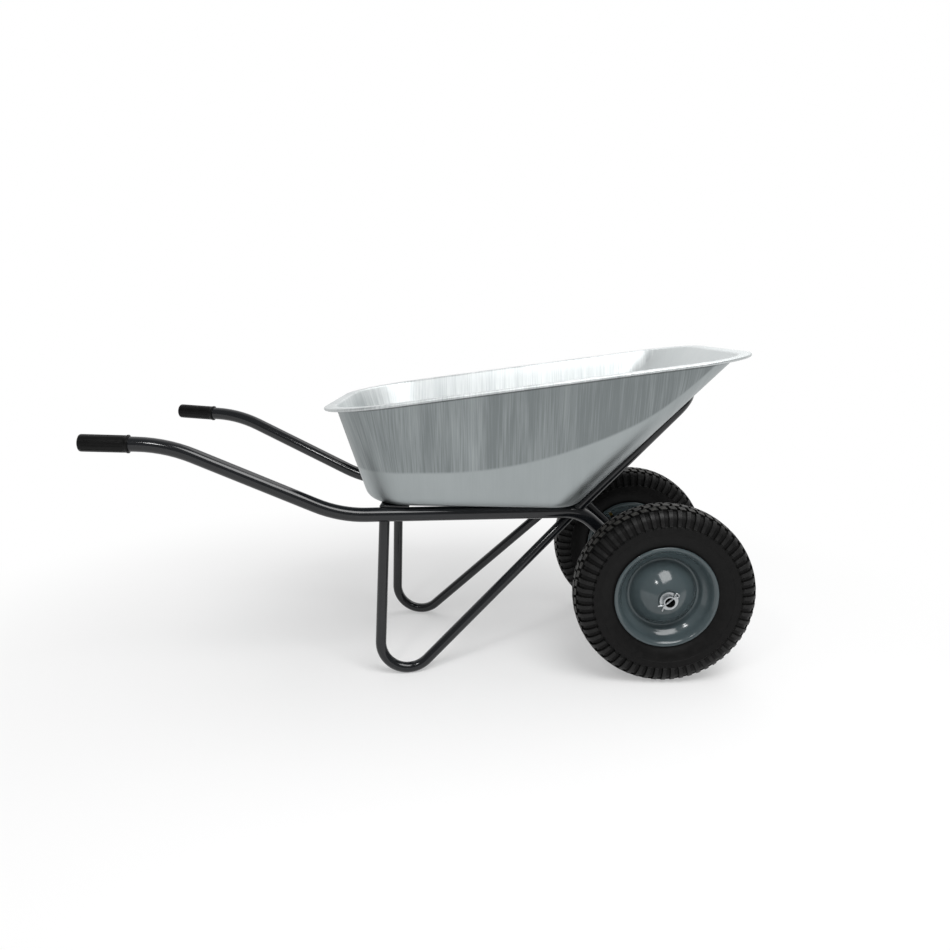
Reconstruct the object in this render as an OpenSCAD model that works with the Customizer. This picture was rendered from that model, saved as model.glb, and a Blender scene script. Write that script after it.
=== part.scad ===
// Two wheel wheelbarrow with a pressed tray on a welded tube frame.
// Millimetres. +X is forward, +Y is to the left of the person pushing, +Z is up.
// The origin is on the ground, midway along the length.

/* [Handles and rails] */
// From the upper bend back to the outermost point of the grips
handle_reach = 172; // [150:1:220]
// Height of the tube axis at the grip end
grip_h = 553; // [500:1:620]
// From the axle back to the upper bend of the handle
handle_bend_x = 1059; // [1000:1:1090]
// Height of the tube axis at the upper bend
handle_bend_h = 545; // [500:1:600]
// From the axle back to the lower bend, where the rail begins
rail_rear_x = 712; // [690:1:740]
// Height of the rail axis at the lower bend
rail_rear_h = 378; // [370:1:395]
// From the axle back to the front bend, where the rail ends
rail_front_x = 176; // [165:1:185]
// Height of the rail axis at the front bend
rail_front_h = 365.4; // [358:0.1:372]
// Distance between the tube axes at the grip ends
grip_spacing = 540; // [500:1:600]
// Distance between the tube axes at the axle
axle_spacing = 186; // [170:1:200]
// Outside diameter of the main tubes
rail_d = 32; // [28:0.5:36]
// Wall of the main tubes
rail_wall = 1.8; // [1.2:0.1:3]
// Bend radius at the upper bend
upper_bend_r = 300; // [200:5:320]
// Bend radius at the lower bend
lower_bend_r = 270; // [200:5:300]
// Bend radius at the front bend
front_bend_r = 100; // [80:1:110]

/* [Grips] */
// Outside diameter of a grip
grip_d = 36.4; // [34:0.2:42]
// Length of a grip
grip_len = 101; // [90:1:130]
// Number of flutes around a grip
grip_flutes = 12; // [8:1:14]

/* [Legs] */
// Outside diameter of the leg tubes
leg_d = 24; // [22:0.5:28]
// Wall of the leg tubes
leg_wall = 1.5; // [1.2:0.1:2.5]
// From the front bend back to the middle of the foot
foot_back = 393; // [380:1:410]
// Bend radius of the foot
foot_r = 62; // [50:1:75]
// Forward lean of the upright
leg_lean = 2.1; // [0:0.1:4]
// Rise of the brace
brace_angle = 44.5; // [43:0.1:46]
// Outward splay of a leg
leg_splay = 5.2; // [3:0.1:8]

/* [Front loop] */
// Outside diameter of the loop tube
loop_d = 26; // [22:0.5:28]
// Wall of the loop tube
loop_wall = 1.5; // [1.2:0.1:2.5]
// From the lower edge of the front wall up to the loop's cross piece
loop_rise = 353; // [310:1:375]
// Bend radius of the loop's corners
loop_bend_r = 52; // [45:1:80]

/* [Tray] */
// From the axle back to the rear edge of the rim
rim_rear_x = 746; // [735:1:770]
// From the axle forward to the front edge of the rim
rim_front_x = 170; // [150:1:195]
// Width over the rim
rim_w = 612; // [580:1:640]
// Height of the rim above the axle line
rim_h = 705.7; // [680:0.1:740]
// Forward rise of the rim
rim_tilt = 7.1; // [4:0.1:9]
// Width of the flange with its bead
flange_w = 26; // [20:0.5:34]
// Diameter of the rolled bead
bead_d = 7; // [5:0.5:9]
// From the axle back to the rear edge of the floor
floor_rear_x = 661; // [645:1:680]
// From the axle back to the front edge of the floor
floor_front_x = 186; // [176:1:200]
// Width over the floor's edges
floor_w = 400; // [370:1:440]
// Plan corner radius of the rim at the rear
rim_rear_r = 170; // [130:1:200]
// Plan corner radius of the rim at the front
rim_front_r = 145; // [110:1:160]
// Plan corner radius of the floor at the rear
floor_rear_r = 110; // [90:1:140]
// Plan corner radius of the floor at the front
floor_front_r = 75; // [60:1:100]
// Radius where the floor turns up into the walls
floor_fillet_r = 36; // [25:1:50]
// Sheet thickness
sheet_t = 1; // [0.8:0.1:2]

/* [Cross bars and bolts] */
// Thickness of the cross bars
bar_t = 5; // [4:0.5:8]
// Width of the front cross bar
front_bar_w = 40; // [30:1:50]
// Width of the rear cross bar
rear_bar_w = 64; // [50:1:70]
// From the axle back to the middle of the front cross bar
front_bar_x = 250; // [240:1:270]
// From the axle back to the middle of the rear cross bar
rear_bar_x = 594; // [560:1:600]
// Thread diameter of the tray bolts
bolt_d = 8; // [6:1:10]
// Distance between the front pair of bolts
front_bolt_spacing = 150; // [120:1:170]
// Distance between the rear pair of bolts
rear_bolt_spacing = 240; // [200:1:270]

/* [Wheels] */
// Outside diameter of a tyre
wheel_d = 400; // [390:1:410]
// Section width of a tyre
tyre_w = 100; // [92:1:106]
// Distance between the middle planes of the tyres
track = 402; // [394:1:440]
// Diameter at the bead seat of the rim
bead_seat_d = 203.2; // [200:0.1:206]
// Height of the rim's lip above the bead seat
lip_h = 12.7; // [11:0.1:14]
// Width over the lips of the rim
rim_over_w = 82; // [78:1:86]
// Sheet thickness of the rim
rim_t = 2; // [1.5:0.1:2.5]
// Outer radius of the rim's central dome
dome_r = 71; // [66:1:73]
// Outside diameter of the hub tube
hub_d = 42; // [40:0.5:48]
// From the middle plane out to the hub's outer end
hub_out = 55; // [52:1:60]
// From the middle plane in to the hub's inner end
hub_in = 52; // [50:1:54]
// Length of a hub bush
bush_len = 25; // [18:1:30]

/* [Axle] */
// Outside diameter of the axle tube
axle_d = 27; // [24:0.5:28]
// Wall of the axle tube
axle_wall = 2.5; // [2:0.1:4]
// Outside diameter of the axle washers
washer_d = 40; // [38:0.5:44]
// Thickness of the axle washers
washer_t = 3; // [2:0.5:4]
// Width of the stop collars
collar_w = 9; // [6:0.5:12]
// Wire diameter of the split pins
pin_d = 5; // [4:0.5:6]
// Turn of the split pins about the axle
pin_angle = 40; // [0:1:90]

/* [Clearances] */
// Running clearance of the bushes on the axle, on the radius
run_gap = 0.06; // [0.02:0.01:0.1]
// End clearance between hub and washers
end_gap = 0.35; // [0.3:0.05:0.8]
// Clearance of bolts and pins in their holes, on the diameter
hole_gap = 0.8; // [0.4:0.1:1.5]
// Clearance of washers on their bolts and on the axle, on the diameter
washer_gap = 0.3; // [0.2:0.1:1]

/* [Hidden] */

// How far a straight tube runs into its bend, and how much the wall draws in along the bend.
tube_lap = 1.2;
tube_draw = 0.3;
cut = 1;

// Frame positions. The bend line of a main tube lies in an upright plane that toes in to the front.
grip_reach = handle_bend_x + handle_reach;
axle_x = (grip_reach - max(wheel_d / 2, rim_front_x)) / 2;
axle_h = wheel_d / 2;
grip_end_r = 36;
toe = atan((grip_spacing - axle_spacing) / 2 / grip_reach);
function along(x) = x / cos(toe);
p_axle = [0, axle_h];
p_front = [-along(rail_front_x), rail_front_h];
p_rear = [-along(rail_rear_x), rail_rear_h];
p_upper = [-along(handle_bend_x), handle_bend_h];
p_grip = [-along(grip_reach - grip_end_r), grip_h];
tube_end = 4;
rail_tilt = atan((p_rear[1] - p_front[1]) / (p_front[0] - p_rear[0]));
rail_slope = (rail_rear_h - rail_front_h) / (rail_rear_x - rail_front_x);
deck_tilt = atan(rail_slope);
function rail_h(x) = rail_front_h - rail_slope * (x + rail_front_x);
function deck_h(x) = rail_h(x) + rail_d / 2 / cos(rail_tilt);
function floor_h(x) = deck_h(x) + (bar_t + sheet_t) / cos(deck_tilt);
function rim_plane_h(x) = rim_h + tan(rim_tilt) * x;
function rail_y(x) = axle_spacing / 2 - x * tan(toe);

// Plane polylines: unit vectors, turns and tangent lengths.
function unit(v) = v / norm(v);
function heading(a, b) = atan2(b[1] - a[1], b[0] - a[0]);
function wrap(a) = a > 180 ? a - 360 : a < -180 ? a + 360 : a;
function turn(p, i) = wrap(heading(p[i], p[i + 1]) - heading(p[i - 1], p[i]));
function tangent_len(p, r, i) = i <= 0 || i >= len(p) - 1 ? 0 : r[i - 1] * tan(abs(turn(p, i)) / 2);

// A straight length of tube along +Z.
module pipe(d, wall, length) {
  difference() {
    cylinder(h = length, d = d, $fn = 64);
    if (wall > 0)
      translate([0, 0, -cut])
        cylinder(h = length + 2 * cut, d = d - 2 * wall, $fn = 64);
  }
}

// A bend that leaves +Z towards +X, about an axis at the origin.
module elbow(d, wall, radius, angle) {
  rotate([90, 0, 0])
    rotate([0, 0, 180 - angle])
      rotate_extrude(angle = angle, $fn = 128)
        translate([radius, 0])
          difference() {
            circle(d = d - 2 * tube_draw, $fn = 64);
            if (wall > 0)
              circle(d = d - 2 * wall + 2 * tube_draw, $fn = 64);
          }
}

module tube_leg(p, r, d, wall, i, side) {
  last = i + 2 >= len(p);
  before = i == 0 ? 0 : tube_lap;
  after = last ? 0 : tube_lap;
  length = norm(p[i + 1] - p[i]) - tangent_len(p, r, i) - tangent_len(p, r, i + 1);
  translate([0, 0, -before])
    pipe(d, wall, length + before + after);
  if (!last) {
    t = turn(p, i + 1);
    next = t < 0 ? 0 : 180;
    rotate([0, 0, next - side])
      translate([r[i], 0, length]) {
        elbow(d, wall, r[i], abs(t));
        rotate([0, abs(t), 0])
          translate([-r[i], 0, 0])
            tube_leg(p, r, d, wall, i + 1, next);
      }
  }
}

// A bent tube along the polyline p in the XZ plane, with one bend radius for each inner point.
module bent_tube(p, r, d, wall) {
  translate([p[0][0], 0, p[0][1]])
    rotate([0, 90 - heading(p[0], p[1]), 0])
      tube_leg(p, r, d, wall, 0, 0);
}

module at_axle() {
  translate([axle_x, 0, 0])
    children();
}

// The right-hand side is drawn, and the left-hand side is its mirror image.
module on_side(side) {
  at_axle()
    mirror([0, side == "left" ? 1 : 0, 0])
      children();
}

// The upright plane of the right main tube, with the tube's line in XZ.
module in_rail_plane() {
  translate([0, -axle_spacing / 2, 0])
    rotate([0, 0, toe])
      children();
}

// Main tubes, mitred to the axle that they are welded to.
p_tube_end = p_grip + unit(p_grip - p_upper) * tube_end;
main_path = [p_tube_end, p_upper, p_rear, p_front, p_axle];
main_radii = [upper_bend_r, lower_bend_r, front_bend_r];

module main_tube_line(wall) {
  in_rail_plane()
    bent_tube(main_path, main_radii, rail_d, wall);
}

module main_tube(side) {
  color("#2b2e32")
    on_side(side)
      difference() {
        main_tube_line(rail_wall);
        translate([0, 0, axle_h])
          rotate([90, 0, 0])
            cylinder(h = track, d = axle_d, center = true, $fn = 96);
      }
}

// Grips: a fluted sleeve with a domed end and a flange.
flute_r = 1.1;
flute_depth = 0.7;
grip_flange_w = 4;
grip_flange_h = 1.2;
grip_edge_r = 5;
dome_edge = asin((grip_d / 2 - 2) / grip_end_r);
grip_front = grip_end_r - grip_len;
grip_profile = concat(
  [for (i = [0 : 6]) grip_end_r * [sin(dome_edge * i / 6), cos(dome_edge * i / 6)]],
  [
    [grip_d / 2 - 0.6, grip_end_r * cos(dome_edge) - 1.4],
    [grip_d / 2, grip_end_r * cos(dome_edge) - grip_edge_r],
    [grip_d / 2, grip_front + grip_flange_w],
    [grip_d / 2 + grip_flange_h, grip_front + grip_flange_w],
    [grip_d / 2 + grip_flange_h, grip_front],
    [rail_d / 2, grip_front],
    [rail_d / 2, tube_end],
    [0, tube_end]
  ]
);
flute_top = grip_end_r * cos(dome_edge) - grip_edge_r - 3;
flute_bottom = grip_front + grip_flange_w + 6;

module grip(side) {
  color("#1a1a1a")
    on_side(side)
      in_rail_plane()
        translate([p_grip[0], 0, p_grip[1]])
          rotate([0, 90 - heading(p_upper, p_grip), 0])
            difference() {
              rotate_extrude($fn = 96)
                polygon(grip_profile);
              for (i = [0 : grip_flutes - 1])
                rotate([0, 0, 360 / grip_flutes * i])
                  translate([grip_d / 2 + flute_r - flute_depth, 0, flute_bottom])
                    cylinder(h = flute_top - flute_bottom, r = flute_r, $fn = 24);
            }
}

// Legs: upright, foot bend and brace in one plane that leans against the inner flank of the rail.
leg_off = (rail_d + leg_d) / 2 / cos(leg_splay);
leg_top = 13;
brace_top = 8;
foot_k = sqrt(1 - pow(sin(leg_splay) * cos(rail_tilt), 2));
foot_drop = foot_r * foot_k + leg_d / 2 - tube_draw - rail_front_h - foot_back * sin(rail_tilt);
foot_c = [-foot_back, foot_drop / cos(leg_splay) / cos(rail_tilt)];
leg_dir = [-sin(leg_lean), -cos(leg_lean)];
brace_dir = [cos(brace_angle), sin(brace_angle)];
leg_tangent = foot_c - foot_r * [cos(leg_lean), -sin(leg_lean)];
brace_tangent = foot_c - foot_r * [-sin(brace_angle), cos(brace_angle)];
foot_turn = 90 + leg_lean + brace_angle;
leg_corner = leg_tangent + leg_dir * foot_r * tan(foot_turn / 2);
leg_start = leg_tangent - leg_dir * (leg_top - leg_tangent[1]) / cos(leg_lean);
brace_end = brace_tangent + brace_dir * (brace_top - brace_tangent[1]) / sin(brace_angle);

module leg(side) {
  color("#2b2e32")
    on_side(side)
      in_rail_plane()
        translate([p_front[0], 0, p_front[1]])
          rotate([0, rail_tilt, 0])
            translate([0, leg_off, 0])
              rotate([-leg_splay, 0, 0])
                bent_tube([leg_start, leg_corner, brace_end], [foot_r], leg_d, leg_wall);
}

// Tray: a sheet lofted between the floor's outline and the rim's outline.
corner_steps = 10;
side_steps = 6;
end_steps = 3;
fillet_steps = 4;
floor_up = [sin(deck_tilt), 0, cos(deck_tilt)];
rim_up = [-sin(rim_tilt), 0, cos(rim_tilt)];
function arc_run(cx, cy, r, a) = [
  for (i = [0 : corner_steps])
    let (b = a + 90 * i / corner_steps)
      [cx + r * cos(b), cy + r * sin(b), b]
];
function straight_run(a, b, n, ang) = [
  for (i = [1 : n - 1])
    [a[0] + (b[0] - a[0]) * i / n, a[1] + (b[1] - a[1]) * i / n, ang]
];
function outline(x0, x1, hw, r0, r1) = concat(
  arc_run(x1 - r1, hw - r1, r1, 0),
  straight_run([x1 - r1, hw], [x0 + r0, hw], side_steps, 90),
  arc_run(x0 + r0, hw - r0, r0, 90),
  straight_run([x0, hw - r0], [x0, r0 - hw], end_steps, 180),
  arc_run(x0 + r0, r0 - hw, r0, 180),
  straight_run([x0 + r0, -hw], [x1 - r1, -hw], side_steps, 270),
  arc_run(x1 - r1, r1 - hw, r1, 270),
  straight_run([x1, r1 - hw], [x1, hw - r1], end_steps, 0)
);
floor_line = outline(-floor_rear_x, -floor_front_x, floor_w / 2, floor_rear_r, floor_front_r);
rim_line = outline(
  flange_w - rim_rear_x, rim_front_x - flange_w, rim_w / 2 - flange_w,
  rim_rear_r - flange_w, rim_front_r - flange_w
);
stations = len(floor_line);
function between(a, b) = acos(max(-1, min(1, a * b)));
function bow(a, b, c, n) = [
  for (i = [0 : n])
    let (s = i / n)
      a * (1 - s) * (1 - s) + b * 2 * s * (1 - s) + c * s * s
];
// The sheet's section at one station, from the floor's underside out over the bead to the floor's top.
function section(i) =
  let (
    f = floor_line[i],
    r = rim_line[i],
    n = [cos(f[2]), sin(f[2]), 0],
    b_in = [f[0], f[1], floor_h(f[0])],
    t_in = [r[0], r[1], rim_plane_h(r[0])],
    wall = unit(t_in - b_in),
    inward = unit([-n[0], -n[1], tan(deck_tilt) * n[0]]),
    out = unit([n[0], n[1], tan(rim_tilt) * n[0]]),
    floor_angle = between(inward, wall),
    rim_angle = between(out, -wall),
    b_out = b_in - floor_up * sheet_t - inward * sheet_t / tan(floor_angle / 2),
    t_out = t_in - rim_up * sheet_t + out * sheet_t / tan(rim_angle / 2),
    l_out = floor_fillet_r / tan(floor_angle / 2),
    l_in = (floor_fillet_r - sheet_t) / tan(floor_angle / 2),
    l_top = 5,
    edge = t_in + out * (flange_w - bead_d / 2),
    roll = edge - rim_up * bead_d / 2
  )
  concat(
    bow(b_out + inward * l_out, b_out, b_out + wall * l_out, fillet_steps),
    bow(t_out - wall * l_top, t_out, t_out + out * l_top, 2),
    [edge - rim_up * sheet_t - out * bead_d / 2],
    [for (a = [180 : 45 : 450]) roll + (out * cos(a) + rim_up * sin(a)) * bead_d / 2],
    bow(t_in + out * l_top, t_in, t_in - wall * l_top, 2),
    bow(b_in + wall * l_in, b_in, b_in + inward * l_in, fillet_steps)
  );
tray_sections = [for (i = [0 : stations - 1]) section(i)];
section_n = len(tray_sections[0]);
tray_points = [for (s = tray_sections) for (p = s) p];
tray_faces = concat(
  [
    for (i = [0 : stations - 1])
      for (j = [0 : section_n - 2])
        for (k = [0 : 1])
          let (
            a = i * section_n + j,
            b = (i + 1) % stations * section_n + j
          )
          k == 0 ? [a, a + 1, b + 1] : [a, b + 1, b]
  ],
  [[for (i = [0 : stations - 1]) i * section_n]],
  [[for (i = [stations - 1 : -1 : 0]) i * section_n + section_n - 1]]
);

module tray() {
  color("#b9bcbf")
    at_axle()
      difference() {
        polyhedron(points = tray_points, faces = tray_faces, convexity = 8);
        at_bolts()
          translate([0, 0, -bar_t - sheet_t])
            cylinder(h = 4 * bar_t, d = bolt_d + hole_gap, $fn = 32);
      }
}

// Front loop, lying along the front wall and coped to the main tubes.
loop_gap = 0.05;
wall_foot = [-floor_front_x, floor_h(-floor_front_x)];
wall_head = [rim_front_x - flange_w, rim_plane_h(rim_front_x - flange_w)];
wall_angle = heading(wall_foot, wall_head);
loop_off = loop_d / 2 + sheet_t + loop_gap;
loop_foot = wall_foot + loop_off * [sin(wall_angle), -cos(wall_angle)];
loop_low = (rail_h(loop_foot[0]) - loop_foot[1]) / sin(wall_angle);
loop_x = loop_foot[0] + loop_low * cos(wall_angle);
loop_half = rail_y(loop_x + rail_d / 2);
loop_path = [
  [-loop_half, loop_low],
  [-loop_half, loop_rise],
  [loop_half, loop_rise],
  [loop_half, loop_low]
];

module front_loop() {
  color("#2b2e32")
    at_axle()
      difference() {
        translate([loop_foot[0], 0, loop_foot[1]])
          rotate([0, 90 - wall_angle, 0])
            rotate([0, 0, 90])
              bent_tube(loop_path, [loop_bend_r, loop_bend_r], loop_d, loop_wall);
        main_tube_line(0);
        mirror([0, 1, 0])
          main_tube_line(0);
      }
}

// Cross bars that lie on the rails and carry the tray's floor.
bar_over = 4;

module on_deck(x) {
  translate([x, 0, deck_h(x)])
    rotate([0, deck_tilt, 0])
      children();
}

module cross_bar(x, width, spacing) {
  half = rail_y(x) + bar_over;
  on_deck(x)
    difference() {
      translate([-width / 2, -half, 0])
        cube([width, 2 * half, bar_t]);
      for (s = [-1, 1])
        translate([0, s * spacing / 2, -cut])
          cylinder(h = bar_t + 2 * cut, d = bolt_d + hole_gap, $fn = 32);
    }
}

module front_cross_bar() {
  color("#2b2e32")
    at_axle()
      cross_bar(-front_bar_x, front_bar_w, front_bolt_spacing);
}

module rear_cross_bar() {
  color("#2b2e32")
    at_axle()
      cross_bar(-rear_bar_x, rear_bar_w, rear_bolt_spacing);
}

// Tray bolts: round heads on the floor, washers and nuts under the cross bars.
module at_bolts() {
  for (s = [-1, 1]) {
    on_deck(-front_bar_x)
      translate([0, s * front_bolt_spacing / 2, bar_t + sheet_t])
        children();
    on_deck(-rear_bar_x)
      translate([0, s * rear_bolt_spacing / 2, bar_t + sheet_t])
        children();
  }
}
bolt_head_d = 2.1 * bolt_d;
bolt_head_h = 0.5 * bolt_d;
bolt_washer_t = 1.6;
nut_h = 0.8 * bolt_d;
nut_w = 1.6 * bolt_d;
bolt_under = bar_t + sheet_t;
bolt_len = bolt_under + bolt_washer_t + nut_h + 3;
bolt_head_ball = (pow(bolt_head_d / 2, 2) + pow(bolt_head_h, 2)) / 2 / bolt_head_h;

module tray_bolts() {
  color("#a7abae")
    at_axle()
      at_bolts() {
        translate([0, 0, -bolt_len])
          cylinder(h = bolt_len + 0.5, d = bolt_d, $fn = 32);
        intersection() {
          translate([0, 0, bolt_head_h - bolt_head_ball])
            sphere(r = bolt_head_ball, $fn = 64);
          cylinder(h = 2 * bolt_head_h, d = 2 * bolt_head_d, $fn = 48);
        }
      }
}

module tray_washers() {
  color("#a7abae")
    at_axle()
      at_bolts()
        translate([0, 0, -bolt_under - bolt_washer_t])
          difference() {
            cylinder(h = bolt_washer_t, d = 2 * bolt_d, $fn = 48);
            translate([0, 0, -cut])
              cylinder(h = bolt_washer_t + 2 * cut, d = bolt_d + washer_gap, $fn = 32);
          }
}

module tray_nuts() {
  color("#a7abae")
    at_axle()
      at_bolts()
        translate([0, 0, -bolt_under - bolt_washer_t - nut_h])
          difference() {
            cylinder(h = nut_h, d = nut_w / cos(30), $fn = 6);
            translate([0, 0, -cut])
              cylinder(h = nut_h + 2 * cut, d = bolt_d, $fn = 32);
          }
}

// Axle parts, measured along the axle from the middle of the barrow.
hub_outer_y = track / 2 + hub_out;
hub_inner_y = track / 2 - hub_in;
outer_washer_y = hub_outer_y + end_gap;
inner_washer_y = hub_inner_y - end_gap - washer_t;
collar_y = inner_washer_y - collar_w;
pin_y = outer_washer_y + washer_t + pin_d / 2;
axle_half = pin_y + pin_d / 2 + 5;
collar_d = axle_d + 12;

// Turns +Z to point out along the right-hand half of the axle.
module along_axle(side) {
  on_side(side)
    translate([0, 0, axle_h])
      rotate([90, 0, 0])
        children();
}

module ring(inner_d, outer_d, width) {
  difference() {
    cylinder(h = width, d = outer_d, $fn = 96);
    translate([0, 0, -cut])
      cylinder(h = width + 2 * cut, d = inner_d, $fn = 96);
  }
}

module axle() {
  color("#8d9194")
    difference() {
      along_axle("right")
        translate([0, 0, -axle_half])
          ring(axle_d - 2 * axle_wall, axle_d, 2 * axle_half);
      for (side = ["right", "left"])
        along_axle(side)
          translate([0, 0, pin_y])
            rotate([0, 90, pin_angle])
              cylinder(h = 2 * axle_d, d = pin_d + hole_gap, center = true, $fn = 32);
    }
}

module axle_collars() {
  color("#2b2e32")
    for (side = ["right", "left"])
      along_axle(side)
        translate([0, 0, collar_y])
          ring(axle_d, collar_d, collar_w);
}

module inner_washers() {
  color("#a7abae")
    for (side = ["right", "left"])
      along_axle(side)
        translate([0, 0, inner_washer_y])
          ring(axle_d + washer_gap, washer_d, washer_t);
}

module outer_washers() {
  color("#a7abae")
    for (side = ["right", "left"])
      along_axle(side)
        translate([0, 0, outer_washer_y])
          ring(axle_d + washer_gap, washer_d, washer_t);
}

// Split pins: an eye at one end, two spread legs at the other.
pin_half = axle_d / 2 + 2.5;
pin_eye_r = 4.5;
pin_eye_wire = 3;
pin_leg_len = 12;
pin_leg_d = 3;

module split_pins() {
  color("#a7abae")
    for (side = ["right", "left"])
      along_axle(side)
        translate([0, 0, pin_y])
          rotate([0, 90, pin_angle]) {
            cylinder(h = 2 * pin_half, d = pin_d, center = true, $fn = 32);
            translate([0, 0, pin_half + pin_eye_r])
              rotate([0, 90, 0])
                rotate_extrude($fn = 48)
                  translate([pin_eye_r, 0])
                    circle(d = pin_eye_wire, $fn = 24);
            for (s = [-1, 1])
              translate([0, s * 0.8, 1 - pin_half])
                rotate([180 + s * 32, 0, 0])
                  cylinder(h = pin_leg_len, d = pin_leg_d, $fn = 24);
          }
}

// Wheels. Profiles are [radius, distance out from the middle plane].
module at_wheel(side) {
  along_axle(side)
    translate([0, 0, track / 2])
      children();
}
seat_r = bead_seat_d / 2;
lip_r = seat_r + lip_h;
face_z = rim_over_w / 2;
tyre_r = wheel_d / 2;
tyre_half = tyre_w / 2;
hub_r = hub_d / 2;
web_out = seat_r - 19.6;
web_in = dome_r + 5;
dome_steps = 8;
dome_foot = 6;
dome_z = hub_out - 4;
function dome_line(top) = bow(
  [dome_r, dome_foot],
  [dome_r - 0.34 * (dome_r - hub_r), dome_foot + 0.66 * (top - dome_foot)],
  [hub_r, top],
  dome_steps
);

// Middle line of a pressed half of the rim, from the lip in to the hub.
function rim_line_at(top) = concat(
  [
    [lip_r - 0.4, face_z - 3.8],
    [lip_r - 1.2, face_z - 1.9],
    [lip_r - 3.6, face_z - 1],
    [lip_r - 6.6, face_z - 2.2],
    [seat_r + 3.4, face_z - 5.4],
    [seat_r + 0.8, face_z - 9],
    [seat_r - 1, face_z - 13],
    [seat_r - 2.6, 19],
    [seat_r - 4.8, 11.5],
    [seat_r - 8.4, 5.6],
    [seat_r - 13.6, 2.3],
    [web_out, rim_t / 2 + 0.02],
    [web_in, rim_t / 2 + 0.02],
    [web_in - 3, 2.6]
  ],
  dome_line(top)
);
function left_of(a, b) = let (d = unit(b - a)) [-d[1], d[0]];
function side_at(p, i) = i == 0 ? left_of(p[0], p[1]) : i == len(p) - 1 ? left_of(p[i - 1], p[i])
  : let (a = left_of(p[i - 1], p[i]), b = left_of(p[i], p[i + 1])) (a + b) / (1 + a * b);
function shifted(p, by) = [for (i = [0 : len(p) - 1]) p[i] + side_at(p, i) * by];
function reversed(p) = [for (i = [len(p) - 1 : -1 : 0]) p[i]];
function strip(p, t) = concat(shifted(p, t / 2), reversed(shifted(p, -t / 2)));

module rim_half(top) {
  difference() {
    rotate_extrude($fn = 128)
      polygon(strip(rim_line_at(top), rim_t));
    translate([0, 0, -cut])
      cylinder(h = 3 * hub_out, r = hub_r, $fn = 96);
  }
}

module outer_rim(side) {
  color("#3e4749")
    at_wheel(side)
      rim_half(dome_z);
}

// The inner half has the hole for the valve.
module inner_rim(side) {
  color("#3e4749")
    at_wheel(side)
      difference() {
        mirror([0, 0, 1])
          rim_half(hub_in - 4);
        at_valve()
          translate([0, 0, -6])
            cylinder(h = 12, d = valve_d + hole_gap, $fn = 32);
      }
}

module hub(side) {
  color("#3e4749")
    at_wheel(side)
      translate([0, 0, -hub_in])
        ring(bush_d, hub_d, hub_in + hub_out);
}
bush_d = axle_d + 7;

module bushes(side) {
  color("#d8d4c4")
    at_wheel(side)
      for (z = [-hub_in, hub_out - bush_len])
        translate([0, 0, z])
          ring(axle_d + 2 * run_gap, bush_d, bush_len);
}

// Tyre: bead, sidewall, shoulder and crown, mirrored about the middle plane.
bead_gap = 0.6;
bead_r = seat_r + 1 + bead_gap;
wall_h = tyre_r - lip_r;
row_mid = tyre_half - 38.5;
row_edge = tyre_half - 21.5;
tyre_outside = [
  [bead_r, face_z - 19],
  [bead_r, face_z - 10.5],
  [bead_r + 3.2, face_z - 7.6],
  [bead_r + 6.5, face_z - 6],
  [lip_r, face_z - 5.4],
  [lip_r + 0.045 * wall_h, face_z - 4],
  [lip_r + 0.09 * wall_h, tyre_half - 9.5],
  [lip_r + 0.17 * wall_h, tyre_half - 5.6],
  [lip_r + 0.28 * wall_h, tyre_half - 2.2],
  [lip_r + 0.42 * wall_h, tyre_half],
  [lip_r + 0.56 * wall_h, tyre_half - 0.4],
  [lip_r + 0.7 * wall_h, tyre_half - 2.2],
  [lip_r + 0.82 * wall_h, tyre_half - 6],
  [lip_r + 0.9 * wall_h, tyre_half - 10.5],
  [lip_r + 0.96 * wall_h, row_edge],
  [tyre_r, row_mid]
];
tyre_inside = [
  [tyre_r - 12, tyre_half - 40],
  [tyre_r - 13.5, tyre_half - 26],
  [tyre_r - 18, tyre_half - 16.5],
  [lip_r + 0.7 * wall_h, tyre_half - 9],
  [lip_r + 0.45 * wall_h, tyre_half - 6],
  [lip_r + 0.25 * wall_h, tyre_half - 9],
  [lip_r + 0.08 * wall_h, tyre_half - 17],
  [lip_r - 3, tyre_half - 26],
  [bead_r + 3, face_z - 22]
];
function flipped(p) = [for (i = [len(p) - 1 : -1 : 0]) [p[i][0], -p[i][1]]];

// Tread: rows of blocks on the crown, half a pitch apart, and lugs over the shoulders.
tread_pitches = 60;
tread_depth = 4.5;
tread_cut_w = 5;
chevron = 4;
ring_cut_w = 3;
ring_cuts = [[row_mid, tread_depth], [row_edge, tread_depth + 3]];
lug_cut_w = 9;
lug_foot_r = lip_r + 0.54 * wall_h;
lug_cut = [
  [tyre_r - 7, row_edge],
  [tyre_r - 14.5, tyre_half - 8.6],
  [lug_foot_r, tyre_half - 0.2],
  [lug_foot_r, tyre_w],
  [wheel_d, tyre_w],
  [wheel_d, row_edge]
];

// A groove across the crown, through points that are [along the tread, out from the middle plane].
module crown_cut(p) {
  translate([tyre_r - tread_depth, 0, 0])
    rotate([90, 0, 90])
      linear_extrude(2 * tread_depth)
        polygon(concat(
          [for (q = p) [q[0] - tread_cut_w / 2, q[1]]],
          [for (i = [len(p) - 1 : -1 : 0]) [p[i][0] + tread_cut_w / 2, p[i][1]]]
        ));
}

module lug_cuts() {
  for (s = [-1, 1])
    rotate([90, 0, 0])
      linear_extrude(lug_cut_w, center = true)
        polygon([for (q = lug_cut) [q[0], s * q[1]]]);
}

module tread_cuts() {
  for (i = [0 : tread_pitches - 1])
    rotate([0, 0, 360 / tread_pitches * i]) {
      for (s = [-1, 1])
        crown_cut([[chevron, s * row_mid], [0, s * row_edge]]);
      rotate([0, 0, 180 / tread_pitches]) {
        crown_cut([[chevron, -row_mid], [0, 0], [chevron, row_mid]]);
        lug_cuts();
      }
    }
}

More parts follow.
